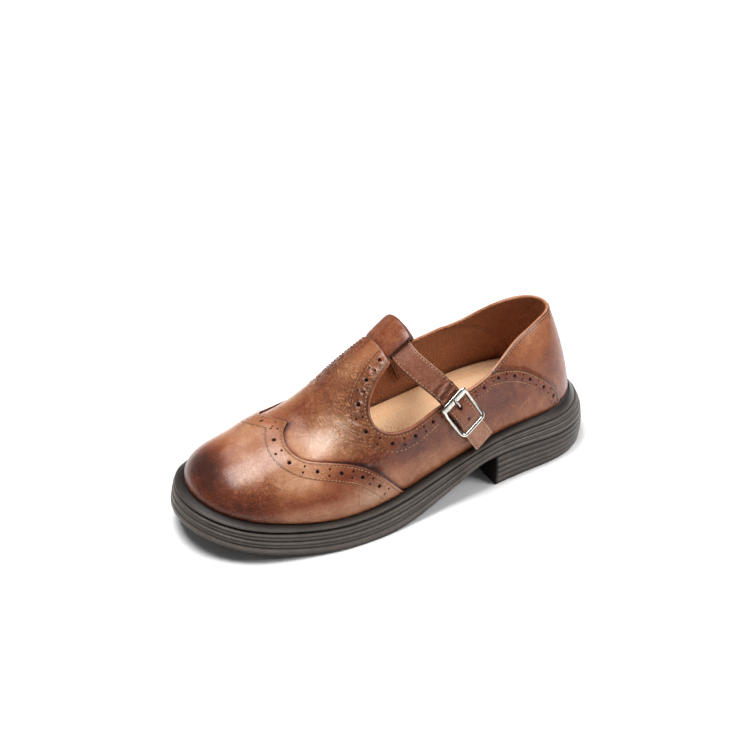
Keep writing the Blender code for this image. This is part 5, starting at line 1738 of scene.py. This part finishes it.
def placed(rows):
    """Points given in the buckle's own axes: along the strap, across it and out."""
    place, along, across, out = buckle_frame_axes()
    return place + np.asarray(rows) @ np.stack([along, across, out])


def bar_lift(run):
    """The frame's height, lowest at the centre bar; `run` goes from -1 to 1 along the strap."""
    top = 0.5 * STRAP_HEIGHT + STRAP_THICKNESS / 2 + 2 * CLEARANCE + WIRE_RADIUS
    low = BAR_HEIGHT + 0.6 * WIRE_RADIUS
    return low + (top - low) * np.abs(run) ** 2


def wire(path, radii, closed, turns=16):
    """A tube round a path given in the buckle's axes; radii are (across, out) for each point."""
    way = np.roll(path, -1, axis=0) - np.roll(path, 1, axis=0) if closed else np.gradient(path, axis=0)
    way = unit(way)
    side = unit(np.cross((0.0, 0.0, 1.0), way)) if closed else np.tile((0.0, 1.0, 0.0), (len(path), 1))
    return swept(path, side, np.cross(way, side), circle(turns)[None] * radii[:, None], closed)


FRAME_STATIONS = 200
FRAME_SQUARENESS = 0.22
FRAME_THICKER = 1.2
THICK_BAR_WIDER = 1.62
THICK_BAR_FLATTER = 0.25
BAR_STATIONS = 24
cosine, sine = circle(FRAME_STATIONS).T
run = np.sign(cosine) * np.abs(cosine) ** FRAME_SQUARENESS
wide = np.sign(sine) * np.abs(sine) ** FRAME_SQUARENESS
path = np.stack([run * FRAME_LENGTH / 2, wide * FRAME_WIDTH / 2, bar_lift(run)], axis=-1)
blend = np.clip((-run - 0.86) / 0.10, 0, 1)
thin, thick = FRAME_THICKER * WIRE_RADIUS, THICK_BAR_WIDER * THICK_BAR_RADIUS
radii = np.stack([thin + (thick - thin) * blend, WIRE_RADIUS * (1 - THICK_BAR_FLATTER * blend)], axis=-1)
frame_points, frame_faces = wire(path, radii, True)
ends = np.linspace(-0.5, 0.5, BAR_STATIONS)[:, None] * (0.0, FRAME_WIDTH, 0.0) + (0.0, 0.0, BAR_HEIGHT)
ways = [np.tile(way, (BAR_STATIONS, 1)) for way in ((1.0, 0.0, 0.0), (0.0, 0.0, 1.0))]
section = np.repeat(circle(12)[None] * CENTRE_BAR_RADIUS, BAR_STATIONS, axis=0)
bar_points, bar_faces = swept(ends, *ways, section)
points = placed(np.vstack([frame_points, bar_points]))
faces = np.vstack([frame_faces, bar_faces + len(frame_points)])
buckle = piece("dressed_buckle_frame", points, faces, NICKEL, outward=True)
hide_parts("buckle_frame")

# %% Prong
PRONG_STATIONS = 90
curl = CENTRE_BAR_RADIUS + CLEARANCE + PRONG_RADIUS
bend = np.radians(np.linspace(150, -95, 9))
ring = np.column_stack([np.cos(bend) * curl, 0 * bend, BAR_HEIGHT + np.sin(bend) * curl])
rest = float(bar_lift(1.0)) + WIRE_RADIUS + CLEARANCE + PRONG_RADIUS
# After the curl: (share of half the frame's length, height)
rows = np.array((
    (-0.28, BAR_HEIGHT - 0.55 * curl),
    (HOLE_PLACE + 0.03, STRAP_HEIGHT * 0.84),
    (-0.70, rest),
    (-1.02, rest),
    (-1.10, rest - 0.4 * PRONG_RADIUS),
))
after = np.column_stack([rows[:, 0] * FRAME_LENGTH / 2, 0 * rows[:, 0], rows[:, 1]])
route = np.vstack([ring, after])
knots = by_length(route)
steps = np.linspace(0, knots[-1], PRONG_STATIONS)
taper = np.clip((knots[-1] - steps) / (1.2 * PRONG_RADIUS), 0.05, 1) ** 0.5
radii = np.column_stack([taper, taper]) * PRONG_RADIUS
points, faces = wire(spline(knots, route)(steps), radii, False)
prong = piece("dressed_buckle_prong", placed(points), faces, NICKEL, outward=True)
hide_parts("buckle_prong")

# %% Anchor tab
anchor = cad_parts["buckle_anchor"]
anchor.data.materials.clear()
anchor.data.materials.append(mottled_material("anchor_leather", "3a1c10", "5c3220"))
print("anchor:", len(anchor.data.polygons), "faces of the solid, with leather")

# %% [markdown]
# ## Stitches
#
# Thread is what makes a shoe look sewn. Each stitch is a tiny rounded bead, a few dozen faces, laid
# along its row and pressed half into the leather. One array holds them all.

# %% One stitch and a row of them
STITCH = 2.1 * MM
STITCH_LENGTH = 0.72 * STITCH
THREAD_RADIUS = 0.31 * MM
# One stitch: (place along, radius)
BEAD = np.array(((-0.5, 0.15), (-0.42, 0.7), (0.0, 1.0), (0.42, 0.7), (0.5, 0.15)))


def bead():
    """One stitch along X, of length 1 and radius 1: a closed tube that swells in its middle."""
    centre = BEAD[:, :1] * (1.0, 0.0, 0.0)
    ways = [np.tile(way, (len(BEAD), 1)) for way in ((0.0, 1.0, 0.0), (0.0, 0.0, 1.0))]
    return swept(centre, *ways, circle(6)[None] * BEAD[:, 1:, None])


def sewn(places, ways, normals):
    """All stitches of a row: the bead turned to each place's way and normal."""
    points, faces = bead()
    across = np.cross(normals, ways)
    axes = np.stack([ways * STITCH_LENGTH, across * THREAD_RADIUS, normals * THREAD_RADIUS * 0.8], axis=1)
    rows = places[:, None] + np.einsum("pk,nkc->npc", points, axes)
    numbers = faces[None] + (np.arange(len(places)) * len(points))[:, None, None]
    return rows.reshape(-1, 3), numbers.reshape(-1, 3)


def sewn_row(row, lift, facing=1):
    """Stitches at (share, around) places, on the outer face or, facing -1, on the lining."""
    places = laid(row, lift)
    print(len(row), "stitches")
    return sewn(places, unit(np.gradient(places, axis=0)), last_way_out(row) * facing)


def sewn_piece(name, parts, thread):
    """One piece from several rows of stitches."""
    sizes = np.cumsum([0] + [len(points) for points, faces in parts])
    points = np.vstack([part[0] for part in parts])
    return piece(name, points, np.vstack([part[1] + start for part, start in zip(parts, sizes)]), thread)


# %% Stitches of the upper: edge, band and collar, and the arc's seam on the lining
UPPER_ROWS = (
    (TRIMS, EDGE_LINE_MM, UPPER_LIFT + 0.24 * MM), (TRIMS, BAND_MM, UPPER_LIFT + 0.16 * MM),
    (COLLARS, EDGE_LINE_MM, UPPER_LIFT - BACK_PANEL_STEP + 0.20 * MM),
)
rows = []
for side in (1, -1):
    for lines, reach, lift in UPPER_ROWS:
        line = lines[side] if lines is TRIMS else lines[side][::-1]
        rows.append(sewn_row(beside(line, STITCH, reach * MM, side), lift))
for side in (1, -1):
    row = stations_along(quarter_line() * (1, side), STITCH)
    trim = TRIMS[side]
    clear = nearest(laid(row), laid(trim[trim[:, 0] > 0.29]), 1)[0] > 3.0 * MM
    row = row[(np.abs(row[:, 1]) < 0.93) & clear & (row[:, 0] < 0.262)]
    rows.append(sewn_row(row, UPPER_LIFT - WALL - 0.20 * MM, -1))
upper_thread = sewn_piece("upper_stitches", rows, THREAD)

# %% Stitches of the cap and the strap
rows = []
for reach, above in ((EDGE_LINE_MM, 0.04 * MM), (BAND_MM, 0.08 * MM)):
    row = beside(cap_line(), STITCH, reach * MM, 1)
    rows.append(sewn_row(row, UPPER_LIFT - recess(row[:, 0]) + CLEARANCE + CAP_THICKNESS + above))
cap_thread = sewn_piece("cap_stitches", rows, THREAD)

STRAP_STITCHES = 80
centre, side, outward, steps = strap_line(STRAP_STITCHES)
ways = unit(np.gradient(centre, axis=0))
rows = []
for sign in (-1, 1):
    places = centre + side * sign * (STRAP_WIDTH / 2 - STRAP_LINE_MM * MM) + outward * (STRAP_THICKNESS / 2)
    rows.append(sewn(places[2:-1], ways[2:-1], outward[2:-1]))
strap_thread = sewn_piece("strap_stitches", rows, PALE_THREAD)
